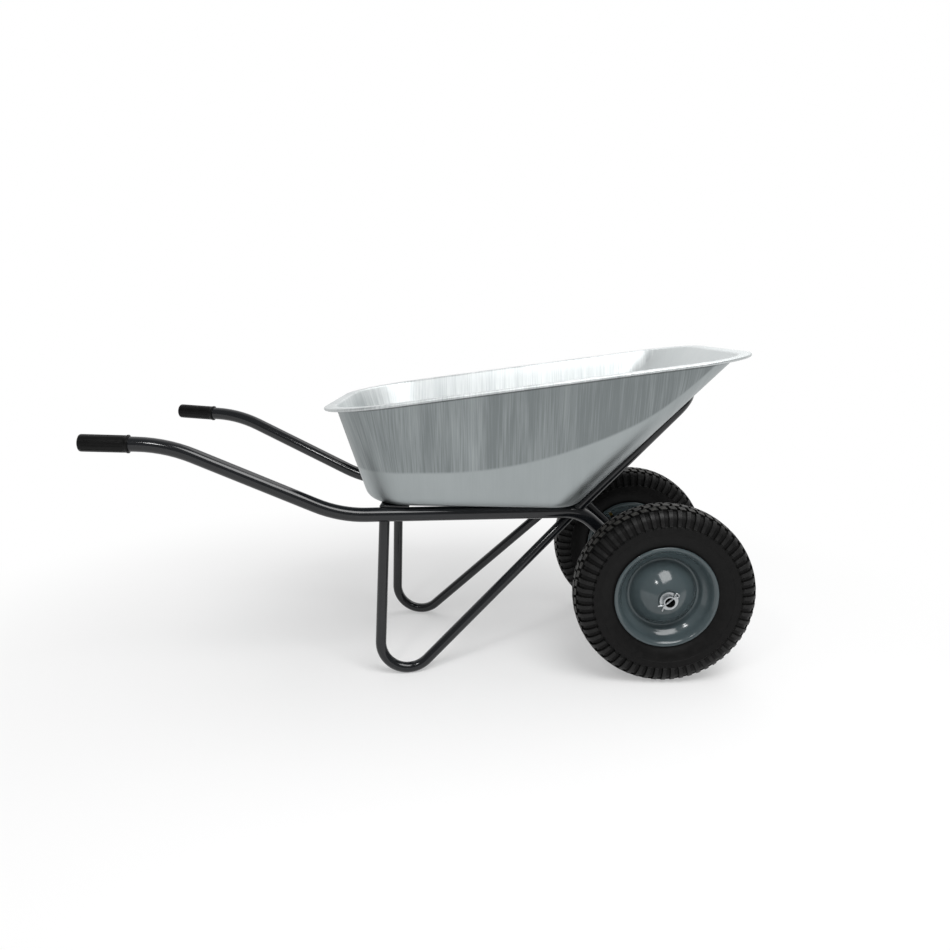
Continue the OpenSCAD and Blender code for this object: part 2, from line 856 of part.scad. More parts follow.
module tyre(side) {
  color("#1c1c1d")
    at_wheel(side)
      difference() {
        rotate_extrude($fn = 160)
          difference() {
            polygon(concat(tyre_outside, flipped(tyre_outside), flipped(tyre_inside), tyre_inside));
            for (c = ring_cuts, s = [-1, 1])
              translate([tyre_r - c[1], s * c[0] - ring_cut_w / 2])
                square([tyre_r, ring_cut_w]);
          }
        tread_cuts();
      }
}

// Inner tube, inflated against the crown, with its valve through the rim's inner half.
tube_wall = 2;
tube_top = tyre_r - 12.1;
tube_low = seat_r + 3.5;
tube_mid = (tube_top + tube_low) / 2;
tube_rise = (tube_top - tube_low) / 2;
tube_half = tyre_half - 11;
function oval(a, b, n) = [for (i = [0 : n - 1]) [tube_mid + a * cos(360 * i / n), b * sin(360 * i / n)]];
valve_d = 8;
valve_hole = 3;
valve_turn = 123;
valve_r = seat_r - 3.2;
valve_z = 13;
valve_in = 17;
valve_out = 27;
cap_d = 10.4;
cap_len = 12;

// The valve's axis leans in and towards the middle of the barrow, from where it passes the rim.
module at_valve() {
  rotate([0, 0, valve_turn])
    translate([valve_r, 0, -valve_z])
      rotate([0, -135, 0])
        children();
}

module inner_tube(side) {
  color("#27272a")
    at_wheel(side)
      difference() {
        rotate_extrude($fn = 160)
          difference() {
            polygon(oval(tube_rise, tube_half, 40));
            polygon(oval(tube_rise - tube_wall, tube_half - tube_wall, 40));
          }
        at_valve()
          translate([0, 0, -valve_in])
            cylinder(h = valve_in, d = valve_d, $fn = 32);
      }
}

module valve_stem(side) {
  color("#b59a57")
    at_wheel(side)
      at_valve()
        translate([0, 0, -valve_in])
          ring(valve_hole, valve_d, valve_in + valve_out);
}

module valve_cap(side) {
  color("#1a1a1a")
    at_wheel(side)
      at_valve()
        translate([0, 0, valve_out - cap_len + 2])
          difference() {
            cylinder(h = cap_len, d = cap_d, $fn = 48);
            translate([0, 0, -cut])
              cylinder(h = cap_len - 2 + cut, d = valve_d, $fn = 32);
          }
}

tray();
main_tube("right");  // right_main_tube
main_tube("left");  // left_main_tube
grip("right");  // right_grip
grip("left");  // left_grip
leg("right");  // right_leg
leg("left");  // left_leg
front_loop();
front_cross_bar();
rear_cross_bar();
tray_bolts();
tray_washers();
tray_nuts();
axle();
axle_collars();
inner_washers();
outer_washers();
split_pins();
tyre("right");  // right_tyre
inner_tube("right");  // right_inner_tube
outer_rim("right");  // right_outer_rim
inner_rim("right");  // right_inner_rim
hub("right");  // right_hub
bushes("right");  // right_bushes
valve_stem("right");  // right_valve_stem
valve_cap("right");  // right_valve_cap
tyre("left");  // left_tyre
inner_tube("left");  // left_inner_tube
outer_rim("left");  // left_outer_rim
inner_rim("left");  // left_inner_rim
hub("left");  // left_hub
bushes("left");  // left_bushes
valve_stem("left");  // left_valve_stem
valve_cap("left");  // left_valve_cap
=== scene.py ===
"""Looks of a two wheel wheelbarrow: zinc tray, painted tube frame and pneumatic wheels.

Metres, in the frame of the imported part: +X forward, +Y to the left, +Z up, ground at Z = 0.
"""

import logging
import math
from collections.abc import Callable, Iterator, Sequence
from contextlib import contextmanager
from dataclasses import dataclass, field
from enum import Enum
from functools import partial

import bmesh
import bpy
from mathutils import Matrix, Vector
from mathutils.bvhtree import BVHTree


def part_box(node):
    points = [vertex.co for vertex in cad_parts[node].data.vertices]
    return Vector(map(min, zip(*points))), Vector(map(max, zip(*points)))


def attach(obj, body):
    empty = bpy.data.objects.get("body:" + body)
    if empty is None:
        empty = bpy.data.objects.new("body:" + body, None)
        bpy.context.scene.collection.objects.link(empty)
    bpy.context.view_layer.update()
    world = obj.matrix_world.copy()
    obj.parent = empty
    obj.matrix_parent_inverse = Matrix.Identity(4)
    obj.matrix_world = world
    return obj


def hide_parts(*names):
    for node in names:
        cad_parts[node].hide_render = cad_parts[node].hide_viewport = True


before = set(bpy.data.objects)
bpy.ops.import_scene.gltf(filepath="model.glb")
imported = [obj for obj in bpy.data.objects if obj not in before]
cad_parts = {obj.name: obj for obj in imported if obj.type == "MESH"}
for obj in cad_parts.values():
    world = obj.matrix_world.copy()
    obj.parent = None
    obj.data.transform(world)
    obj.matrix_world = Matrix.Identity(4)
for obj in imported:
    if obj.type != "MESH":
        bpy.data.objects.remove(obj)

# Short names for Blender's types.
Piece = bpy.types.Object
Skin = bpy.types.Material
Tree = bpy.types.NodeTree
Node = bpy.types.Node
Element = bmesh.types.BMVert | bmesh.types.BMEdge | bmesh.types.BMFace

LOG = logging.getLogger("wheelbarrow")
MM = 0.001
DOUBLE = 0.001 * MM

# Inputs of a Mix node, which has several of one name: the share, two values and two colours.
SHARE = 0
VALUE_A = 2
VALUE_B = 3
COLOUR_A = 6
COLOUR_B = 7


class Pick(Enum):
    """What is picked in edit mode, with the name that a mesh gives its list."""

    VERT = "verts"
    EDGE = "edges"
    FACE = "faces"


class Side(Enum):
    """A side of the barrow, with the sign of its Y."""

    RIGHT = -1
    LEFT = 1

    @property
    def word(self) -> str:
        """The side's name as the nodes spell it."""
        return self.name.lower()

    @property
    def wheel_body(self) -> str:
        """The body that this side's wheel pieces ride on."""
        return f"{self.word}_wheel"


def linear(hex_colour: str) -> tuple[float, float, float, float]:
    """Turns an sRGB hex colour to linear light.

    Args:
        hex_colour: six hex digits after a hash sign.

    Returns:
        Red, green, blue and an alpha of one.
    """
    parts = [int(hex_colour[i : i + 2], 16) / 255 for i in (1, 3, 5)]
    light = [p / 12.92 if p <= 0.04045 else ((p + 0.055) / 1.055) ** 2.4 for p in parts]
    return (*light, 1.0)


def feed(tree: Tree, node: Node, inputs: dict[str | int, object]) -> None:
    """Sets or links a node's inputs.

    Args:
        tree: the node tree.
        node: the node that gets them.
        inputs: values, output sockets or nodes, by the name or number of the input socket. A node
            stands for its first output in use.
    """
    for name, value in inputs.items():
        if isinstance(value, Node):
            value = next(socket for socket in value.outputs if socket.enabled)
        if isinstance(value, bpy.types.NodeSocket):
            tree.links.new(value, node.inputs[name])
        else:
            node.inputs[name].default_value = value


def add_node(
    tree: Tree, kind: str, inputs: dict[str | int, object] | None = None, **settings: object
) -> Node:
    """Adds a shader node with its settings and links.

    Args:
        tree: the node tree that gets it.
        kind: Blender's name of its type, after ShaderNode.
        inputs: what its inputs get, as in feed.
        settings: properties of the node.

    Returns:
        The new node.
    """
    node = tree.nodes.new(f"ShaderNode{kind}")
    for name, value in settings.items():
        setattr(node, name, value)
    feed(tree, node, inputs or {})
    return node


def take(obj: Piece) -> None:
    """Selects one object alone and makes it active.

    Args:
        obj: the object.
    """
    bpy.ops.object.select_all(action="DESELECT")
    obj.select_set(True)
    bpy.context.view_layer.objects.active = obj


@contextmanager
def editing(obj: Piece) -> Iterator[None]:
    """Edit mode on one object, with all its vertices selected at the start.

    Args:
        obj: the mesh object to edit.
    """
    take(obj)
    bpy.ops.object.mode_set(mode="EDIT")
    bpy.ops.mesh.select_mode(type="VERT")
    bpy.ops.mesh.select_all(action="SELECT")
    yield
    bpy.ops.object.mode_set(mode="OBJECT")


@contextmanager
def edit_mesh(obj: Piece) -> Iterator[bmesh.types.BMesh]:
    """The mesh of an object in edit mode, brought up to date at the end.

    Args:
        obj: the object in edit mode.
    """
    mesh = bmesh.from_edit_mesh(obj.data)
    yield mesh
    bmesh.update_edit_mesh(obj.data)


def select(obj: Piece, pick: Pick, wanted: Callable[[Element], bool]) -> None:
    """Selects what passes a test, in edit mode.

    Args:
        obj: the object in edit mode.
        pick: whether vertices, edges or faces are picked.
        wanted: says whether one of them is selected.
    """
    bpy.ops.mesh.select_mode(type=pick.name)
    bpy.ops.mesh.select_all(action="DESELECT")
    with edit_mesh(obj) as mesh:
        for item in getattr(mesh, pick.value):
            if wanted(item):
                item.select_set(True)
        mesh.select_flush_mode()


def apply_modifier(obj: Piece, kind: str, **settings: object) -> None:
    """Adds a modifier to an object and applies it.

    Args:
        obj: the object.
        kind: Blender's type name of the modifier.
        settings: properties of the modifier.
    """
    take(obj)
    modifier = obj.modifiers.new(kind.title(), kind)
    for name, value in settings.items():
        setattr(modifier, name, value)
    bpy.ops.object.modifier_apply(modifier=modifier.name)


def smooth(obj: Piece, angle: float = 40.0) -> None:
    """Shades an object smooth up to an edge angle in degrees."""
    take(obj)
    bpy.ops.object.shade_smooth_by_angle(angle=math.radians(angle))


def settle(obj: Piece) -> None:
    """Moves an object's place and turn into its mesh."""
    take(obj)
    bpy.ops.object.transform_apply(location=True, rotation=True, scale=True)


def start_from(primitive: Callable[..., set[str]], name: str, **settings: object) -> Piece:
    """Adds a primitive to shape, with everything else deselected.

    Args:
        primitive: Blender's operator that adds it.
        name: the object's name.
        settings: the operator's settings.

    Returns:
        The new object.
    """
    bpy.ops.object.select_all(action="DESELECT")
    primitive(**settings)
    obj = bpy.context.object
    obj.name = name
    return obj


def draw_line(name: str, points: Sequence[Vector]) -> Piece:
    """Draws an open chain of edges by extruding one vertex from point to point.

    Args:
        name: the object's name.
        points: the chain's points.

    Returns:
        The object with the chain.
    """
    line = start_from(bpy.ops.mesh.primitive_plane_add, name, size=MM)
    with editing(line):
        bpy.ops.mesh.merge(type="CENTER")
        bpy.ops.transform.translate(value=points[0])
        for before, after in zip(points, points[1:]):
            bpy.ops.mesh.extrude_region_move(TRANSFORM_OT_translate={"value": after - before})
    return line


def spin_round(obj: Piece, centre: Vector, steps: int) -> None:
    """Spins a drawn line once round an axis along Y, closes it and turns its faces outwards.

    Args:
        obj: the object with the line.
        centre: a point on the axis.
        steps: how many faces go round.
    """
    with editing(obj):
        bpy.ops.mesh.spin(steps=steps, angle=2 * math.pi, center=centre, axis=(0, 1, 0))
        bpy.ops.mesh.select_all(action="SELECT")
        bpy.ops.mesh.remove_doubles(threshold=DOUBLE)
        bpy.ops.mesh.normals_make_consistent(inside=False)


def copy_of(obj: Piece, name: str, where: Matrix) -> Piece:
    """Copies an object with its own mesh, moved or mirrored in the mesh.

    Args:
        obj: the object to copy.
        name: the copy's name.
        where: where the copy goes. A mirrored copy has its faces turned back outwards.

    Returns:
        The copy.
    """
    twin = obj.copy()
    twin.data = obj.data.copy()
    twin.name = name
    bpy.context.scene.collection.objects.link(twin)
    twin.data.transform(where)
    if where.determinant() < 0:
        twin.data.flip_normals()
    return twin


def coat(piece: Piece, *skins: Skin) -> None:
    """Gives a new piece its materials, in the order of its slots."""
    for skin in skins:
        piece.data.materials.append(skin)


def place(piece: Piece, body: str, node: str | None = None) -> None:
    """Puts a new piece on its body, in the stead of a node if it has one.

    Args:
        piece: the piece.
        body: the body that it rides on.
        node: the node that it replaces.
    """
    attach(piece, body)
    if node:
        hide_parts(node)
    LOG.info("%s: %d faces, rides on %s", piece.name, len(piece.data.polygons), body)


def quadratic(a: Vector, b: Vector, c: Vector, steps: int) -> list[Vector]:
    """Points along a quadratic curve from a to c that leaves and arrives towards b."""
    return [a * (1 - s) ** 2 + b * 2 * s * (1 - s) + c * s * s for s in (i / steps for i in range(steps + 1))]


@dataclass(frozen=True)
class Finish:
    """A surface finish that makes its own material.

    Attributes:
        name: the material's name.
    """

    name: str

    def start(self) -> tuple[Skin, Tree, Node]:
        """Starts the material.

        Returns:
            The material, its node tree and its main shader.
        """
        material = bpy.data.materials.new(self.name)
        material.use_nodes = True
        return material, material.node_tree, material.node_tree.nodes["Principled BSDF"]

    def make(self) -> Skin:
        """Makes the material."""
        raise NotImplementedError

    def skin(self) -> Skin:
        """A dataclass field that makes the material for its holder."""
        return field(default_factory=self.make)


@dataclass(frozen=True)
class ZincSheet(Finish):
    """Galvanised sheet, deep drawn: streaked where it ran over the die, smooth below the draw line.

    The zinc gives a soft grey metal, the die's streaks run up the walls, and the sheet that stayed
    under the punch is paler and even.

    Attributes:
        streak_dark: colour of the dark streaks.
        streak_pale: colour of the pale streaks.
        even: colour below the draw line.
        even_dark: its slight clouding.
        streak_w: width of a streak, in mm.
        streak_l: length of a streak, in mm.
        layers: streaks of three sizes: times the width, times the length, octaves of finer ones.
        widest: share of the widest streaks among the two wider sizes.
        wider: share of these two among all.
        contrast: levels of the streaks' pattern that are fully dark and fully pale.
        relief: strength of the streaks' relief.
        depth: depth of the streaks, in mm, drawn deeper than the real ones so that it shows.
        cloud: size of the clouding, in mm.
        cloud_detail: octaves of finer clouding.
        rough: roughness of the even zinc.
        rough_span: how far the streaks take it down and up.
        line_h: height of the draw line along the rear half.
        line_x: where the line begins to rise.
        line_rise: how fast it rises to the front, per metre.
        line_soft: half the height over which it fades.
        nose_x: where it begins to rise faster, up the front corners.
        nose_rise: how much faster, per metre.
        band_x: where a darker band of streaks begins towards the front.
        band_soft: half the width over which it begins.
        band: how much darker it is.
        lee: painted shadow under the flange: how much darker the sheet is made there.
        lee_depth: how far down the wall the painted shadow reaches.
        lee_dark: colour of the painted shadow.
    """

    streak_dark: str
    streak_pale: str
    even: str
    even_dark: str
    streak_w: float = 3.0
    streak_l: float = 220.0
    layers: tuple[tuple[int, int, float], ...] = ((1, 1, 3.0), (8, 2, 1.0), (30, 4, 0.0))
    widest: float = 0.4
    wider: float = 0.5
    contrast: tuple[float, float] = (0.36, 0.64)
    relief: float = 0.06
    depth: float = 0.4
    cloud: float = 90.0
    cloud_detail: float = 3.0
    rough: float = 0.42
    rough_span: tuple[float, float] = (0.04, 0.1)
    line_h: float = 478 * MM
    line_x: float = 25 * MM
    line_rise: float = 0.62
    line_soft: float = 4 * MM
    nose_x: float = 420 * MM
    nose_rise: float = 1.1
    band_x: float = 123 * MM
    band_soft: float = 5 * MM
    band: float = 0.0
    lee: float = 0.0
    lee_depth: float = 16 * MM
    lee_dark: str = "#232727"

    def make(self) -> Skin:
        """Makes the material on the sheet's own UV map and its place in the tray.

        Returns:
            The material.
        """
        material, tree, shader = self.start()
        add = partial(add_node, tree)
        coords = add("TexCoord")
        spot = add("SeparateXYZ", {0: coords.outputs["Object"]})
        streak = self._streaks(tree, coords.outputs["UV"])
        edges = {"From Min": self.band_x - self.band_soft, "From Max": self.band_x + self.band_soft}
        band = add("MapRange", {"Value": spot.outputs["X"], **edges, "To Max": self.band})
        shade = add("Math", {0: streak, 1: band}, operation="SUBTRACT", use_clamp=True)
        line = self.line_h
        for begin, rise in ((self.line_x, self.line_rise), (self.nose_x, self.nose_rise)):
            past = add("Math", {0: spot.outputs["X"], 1: begin}, operation="SUBTRACT")
            past = add("Math", {0: past, 1: 0.0}, operation="MAXIMUM")
            square = add("Math", {0: past, 1: past}, operation="MULTIPLY")
            line = add("Math", {0: square, 1: rise, 2: line}, operation="MULTIPLY_ADD")
        above = add("Math", {0: spot.outputs["Z"], 1: line}, operation="SUBTRACT")
        edges = {"From Min": -self.line_soft, "From Max": self.line_soft}
        drawn = add("MapRange", {"Value": above, **edges}, interpolation_type="SMOOTHSTEP")
        size = {"Scale": 1 / (self.cloud * MM), "Detail": self.cloud_detail}
        cloud = add("TexNoise", {"Vector": coords.outputs["Object"], **size})
        pair = {COLOUR_A: linear(self.even), COLOUR_B: linear(self.even_dark)}
        even = add("Mix", {SHARE: cloud, **pair}, data_type="RGBA")
        pair = {COLOUR_A: linear(self.streak_dark), COLOUR_B: linear(self.streak_pale)}
        streaky = add("Mix", {SHARE: shade, **pair}, data_type="RGBA")
        colour = add("Mix", {SHARE: drawn, COLOUR_A: even, COLOUR_B: streaky}, data_type="RGBA")
        run = add("SeparateXYZ", {0: coords.outputs["UV"]})
        # Painted shadow: the sheet darkens from partway down the wall up to the flange, under it and in the
        # bead's curl, where the flange shades it.
        edges = {"From Min": -self.lee_depth, "From Max": -self.lee_depth / 2}
        under = add("MapRange", {"Value": run.outputs["Y"], **edges, "To Max": self.lee})
        pair = {COLOUR_A: colour, COLOUR_B: linear(self.lee_dark)}
        shaded = add("Mix", {SHARE: under, **pair}, data_type="RGBA")
        down, up = self.rough_span
        rough = add("MapRange", {"Value": streak, "To Min": self.rough - down, "To Max": self.rough + up})
        bump = add("Bump", {"Strength": self.relief, "Distance": self.depth * MM, "Height": streak})
        feed(tree, shader, {"Base Color": shaded, "Roughness": rough, "Normal": bump, "Metallic": 1.0})
        return material

    def _streaks(self, tree: Tree, uv: bpy.types.NodeSocket) -> Node:
        """Adds the streaks that the die left along the sheet.

        Args:
            tree: the material's node tree.
            uv: the output with the sheet's UV map.

        Returns:
            The node with their level, from nought on a dark streak to one on a pale one.
        """
        add = partial(add_node, tree)
        sizes = []
        for times_w, times_l, detail in self.layers:
            scale = (1 / (times_w * self.streak_w * MM), 1 / (times_l * self.streak_l * MM), 1)
            run = add("Mapping", {"Vector": uv, "Scale": scale})
            sizes.append(add("TexNoise", {"Vector": run, "Scale": 1.0, "Detail": detail}))
        wide = add("Mix", {SHARE: self.widest, VALUE_A: sizes[1], VALUE_B: sizes[2]})
        mixed = add("Mix", {SHARE: self.wider, VALUE_A: sizes[0], VALUE_B: wide})
        dark, pale = self.contrast
        return add("MapRange", {"Value": mixed, "From Min": dark, "From Max": pale})


@dataclass(frozen=True)
class Clouded(Finish):
    """One colour clouded with another, over a fine grain.

    Attributes:
        colour: the main colour.
        second: colour of the clouds.
        rough: roughness.
        most: how much of the second colour shows at most, from 0 to 1.
        cloud: size of the clouds, in mm.
        cloud_detail: octaves of finer clouds.
        cloud_range: levels of the clouds' pattern with none and with most of the second colour.
        rough_span: how far the clouds take the roughness down and up.
        grain: size of the grain, in mm, drawn coarser than the real one so that it shows.
        grain_detail: octaves of finer grain.
        grain_depth: depth of the grain, in mm.
        relief: strength of the grain's relief.
        metallic: one on bare metal, nought elsewhere.
        sheen: level of its reflection, where a half is that of a clean dielectric.
    """

    colour: str
    second: str
    rough: float
    most: float = 1.0
    cloud: float = 35.0
    cloud_detail: float = 4.0
    cloud_range: tuple[float, float] = (0.0, 1.0)
    rough_span: tuple[float, float] = (0.04, 0.06)
    grain: float = 5.0
    grain_detail: float = 1.0
    grain_depth: float = 0.0
    relief: float = 0.35
    metallic: float = 0.0
    sheen: float = 0.5

    def make(self) -> Skin:
        """Makes the material on object coordinates.

        Returns:
            The material.
        """
        material, tree, shader = self.start()
        add = partial(add_node, tree)
        spot = add("TexCoord").outputs["Object"]
        size = {"Scale": 1 / (self.cloud * MM), "Detail": self.cloud_detail}
        cloud = add("TexNoise", {"Vector": spot, **size})
        none, most = self.cloud_range
        share = add("MapRange", {"Value": cloud, "From Min": none, "From Max": most, "To Max": self.most})
        pair = {COLOUR_A: linear(self.colour), COLOUR_B: linear(self.second)}
        colour = add("Mix", {SHARE: share, **pair}, data_type="RGBA")
        down, up = self.rough_span
        rough = add("MapRange", {"Value": cloud, "To Min": self.rough - down, "To Max": self.rough + up})
        feed(tree, shader, {"Base Color": colour, "Roughness": rough})
        feed(tree, shader, {"Metallic": self.metallic, "Specular IOR Level": self.sheen})
        if self.grain_depth > 0:
            size = {"Scale": 1 / (self.grain * MM), "Detail": self.grain_detail}
            grain = add("TexNoise", {"Vector": spot, **size})
            deep = {"Strength": self.relief, "Distance": self.grain_depth * MM}
            feed(tree, shader, {"Normal": add("Bump", {**deep, "Height": grain})})
        return material


@dataclass(frozen=True)
class GlossPaint(Clouded):
    """Paint baked on metal: an even colour under a gloss with a slight orange peel."""

    grain_depth: float = 0.006


@dataclass(frozen=True)
class Rubber(Clouded):
    """Moulded rubber or plastic: dull, with a fine grain and a trace of dust."""

    most: float = 0.5
    cloud: float = 14.0
    cloud_detail: float = 5.0
    cloud_range: tuple[float, float] = (0.35, 0.75)
    rough_span: tuple[float, float] = (0.08, 0.12)
    grain: float = 2.0
    grain_detail: float = 2.0
    grain_depth: float = 0.15
    relief: float = 0.3
    sheen: float = 0.25


@dataclass(frozen=True)
class PlatedMetal(Clouded):
    """Plated or bare metal with a slight tarnish in patches."""

    cloud: float = 6.0
    rough_span: tuple[float, float] = (0.08, 0.1)
    metallic: float = 1.0


@dataclass
class Finishes:
    """Every finish on the barrow, made once, each with a note on what it gives the eye."""

    # Dull bright zinc with faint streaks up the walls, in paler colours than the outside as painted light
    # where the light falls in.
    tray_inside: Skin = ZincSheet(
        "drawn zinc sheet inside", "#b4b9ba", "#dfe2e2", "#ced2d2", "#c6cacb", rough=0.5
    ).skin()
    # Grey streaks over a paler, even belly, darker to the front: the inside's zinc in darker colours as
    # painted shade, with painted shadow under the flange.
    tray_outside: Skin = ZincSheet(
        "drawn zinc sheet outside", "#7c8283", "#a3a9aa", "#a8aeaf", "#a0a6a7", band=0.3, lee=0.95
    ).skin()
    # Near black gloss that draws a thin bright line along each tube.
    frame_paint: Skin = GlossPaint("anthracite powder coat", "#16181b", "#111316", 0.11).skin()
    # Blue-grey gloss that mirrors the lamps on the dome and in the bowl.
    rim_paint: Skin = GlossPaint("slate enamel", "#475255", "#404a4d", 0.12, grain_depth=0.004).skin()
    # Dull black walls that reflect very little.
    tyre: Skin = Rubber("tyre rubber", "#0c0c0c", "#191818", 0.48, sheen=0.14).skin()
    # Block tops greyed by dust and wear, and lighter still as a painted sheen for the light that they catch
    # from above.
    tread: Skin = Rubber("scuffed tread rubber", "#191918", "#504e4a", 0.55, most=0.7, sheen=0.4).skin()
    # Black blocks a little glossier than the walls, with soft lights on their edges.
    shoulder: Skin = Rubber("polished shoulder rubber", "#0d0d0d", "#1e1d1d", 0.42, sheen=0.24).skin()
    # Black with a soft light along each flute.
    grip: Skin = Rubber("moulded grip plastic", "#0d0d0d", "#181818", 0.38, most=0.4, sheen=0.14).skin()
    # Bright grey metal with duller patches.
    steel: Skin = PlatedMetal("zinc plated steel", "#c3c6c8", "#9ea2a4", 0.32).skin()
    # Yellow metal, browner where it is tarnished.
    brass: Skin = PlatedMetal("valve brass", "#b89a55", "#8f7740", 0.32).skin()
    # Cream plastic with a waxy dullness.
    nylon: Skin = Rubber("natural nylon", "#d6d1c0", "#c4bda8", 0.45, most=0.6).skin()


@dataclass
class Layout:
    """Sizes of the tube frame and the tray, and the places that follow from them.

    Distances are from the axle, forward or back, and heights are above the ground.
    """

    grip_reach: float = 1231 * MM
    grip_end_r: float = 36 * MM
    grip_h: float = 553 * MM
    handle_bend_x: float = 1059 * MM
    handle_bend_h: float = 545 * MM
    rail_rear_x: float = 712 * MM
    rail_rear_h: float = 378 * MM
    rail_front_x: float = 176 * MM
    rail_front_h: float = 365.4 * MM
    grip_spacing: float = 540 * MM
    axle_spacing: float = 186 * MM
    rail_d: float = 32 * MM
    bar_t: float = 5 * MM
    sheet_t: float = 1 * MM
    floor_front_x: float = 186 * MM
    rim_h: float = 705.7 * MM
    rim_tilt: float = math.radians(7.1)
    axle: Vector = field(init=False)

    def __post_init__(self) -> None:
        """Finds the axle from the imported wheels."""
        low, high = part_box("axle")
        self.axle = (low + high) / 2

    @property
    def toe(self) -> float:
        """Angle at which a main tube runs in towards the front."""
        return math.atan((self.grip_spacing - self.axle_spacing) / 2 / self.grip_reach)

    @property
    def rail_slope(self) -> float:
        """Fall of the rails per unit of length to the front."""
        return (self.rail_rear_h - self.rail_front_h) / (self.rail_rear_x - self.rail_front_x)

    @property
    def deck_tilt(self) -> float:
        """Angle of the rails and the tray's floor."""
        return math.atan(self.rail_slope)

    @property
    def rail_tilt(self) -> float:
        """Angle of a rail in its own upright plane."""
        return math.atan(self.rail_slope * math.cos(self.toe))

    def rail_h(self, x: float) -> float:
        """Height of the rail's axis at a distance ahead of the axle."""
        return self.rail_front_h - self.rail_slope * (x + self.rail_front_x)

    def deck_h(self, x: float) -> float:
        """Height of the rail's top at a distance ahead of the axle."""
        return self.rail_h(x) + self.rail_d / 2 / math.cos(self.deck_tilt)

    def floor_h(self, x: float) -> float:
        """Height of the tray's floor at a distance ahead of the axle."""
        return self.deck_h(x) + (self.bar_t + self.sheet_t) / math.cos(self.deck_tilt)

    def rim_plane_h(self, x: float) -> float:
        """Height of the tray's rim at a distance ahead of the axle."""
        return self.rim_h + math.tan(self.rim_tilt) * x

    def rail_y(self, x: float) -> float:
        """Half the distance between the rails at a distance ahead of the axle."""
        return self.axle_spacing / 2 - x * math.tan(self.toe)

    def rail_plane(self, side: Side) -> Matrix:
        """The upright plane of a main tube.

        Args:
            side: the tube's side.

        Returns:
            The matrix from the plane's X and Z to the barrow.
        """
        mirror = Matrix.Scale(-side.value, 4, (0, 1, 0))
        plane = Matrix.Translation((0, -self.axle_spacing / 2, 0)) @ Matrix.Rotation(self.toe, 4, "Z")
        return Matrix.Translation((self.axle.x, 0, 0)) @ mirror @ plane

    def on_rail(self, x: float, h: float) -> Vector:
        """A point of the rail's plane, at a distance ahead of the axle and a height."""
        return Vector((x / math.cos(self.toe), 0, h))

    @property
    def front_corner(self) -> Vector:
        """Corner of the front bend in the rail's plane."""
        return self.on_rail(-self.rail_front_x, self.rail_front_h)

    @property
    def handle_line(self) -> tuple[Vector, Vector]:
        """Upper bend and grip centre in the rail's plane."""
        bend = self.on_rail(-self.handle_bend_x, self.handle_bend_h)
        return bend, self.on_rail(self.grip_end_r - self.grip_reach, self.grip_h)


@dataclass
class BentTube:
    """A round tube along corner points with round bends, extruded and spun from a circle.

    Attributes:
        name: the piece's name.
        points: the corner points.
        radii: one bend radius for each inner corner.
        diameter: outside diameter.
        wall: wall thickness.
        sides: faces round the tube.
        step: turn of one face along a bend, in degrees.
        least_steps: fewest faces along a bend.
    """

    name: str
    points: list[Vector]
    radii: list[float]
    diameter: float
    wall: float
    sides: int = 48
    step: float = 3.0
    least_steps: int = 4

    def build(self) -> Piece:
        """Builds the tube.

        Returns:
            The tube's object.
        """
        first = self.points[1] - self.points[0]
        tube = start_from(
            bpy.ops.mesh.primitive_circle_add,
            self.name,
            vertices=self.sides,
            radius=self.diameter / 2,
            location=self.points[0],
            rotation=first.to_track_quat("Z", "Y").to_euler(),
        )
        settle(tube)
        with editing(tube):
            here = self.points[0]
            for i, radius in enumerate(self.radii, start=1):
                here = self._bend(here, i, radius)
            self._run(self.points[-1] - here)
            bpy.ops.mesh.select_all(action="SELECT")
            bpy.ops.mesh.normals_make_consistent(inside=False)
        apply_modifier(tube, "SOLIDIFY", thickness=self.wall, offset=-1.0)
        smooth(tube)
        return tube

    def _run(self, way: Vector) -> None:
        """Extrudes the open end straight along a way."""
        bpy.ops.mesh.extrude_region_move(TRANSFORM_OT_translate={"value": way})

    def _bend(self, here: Vector, i: int, radius: float) -> Vector:
        """Runs up to a corner and spins round it.

        Args:
            here: middle of the open end.
            i: number of the corner.
            radius: bend radius.

        Returns:
            Middle of the open end after the bend.
        """
        corner = self.points[i]
        before = (corner - self.points[i - 1]).normalized()
        after = (self.points[i + 1] - corner).normalized()
        angle = before.angle(after)
        axis = before.cross(after).normalized()
        reach = radius * math.tan(angle / 2)
        self._run(corner - before * reach - here)
        centre = corner - before * reach + axis.cross(before) * radius
        steps = max(self.least_steps, round(math.degrees(angle) / self.step))
        bpy.ops.mesh.spin(steps=steps, angle=angle, center=centre, axis=-axis)
        return corner + after * reach


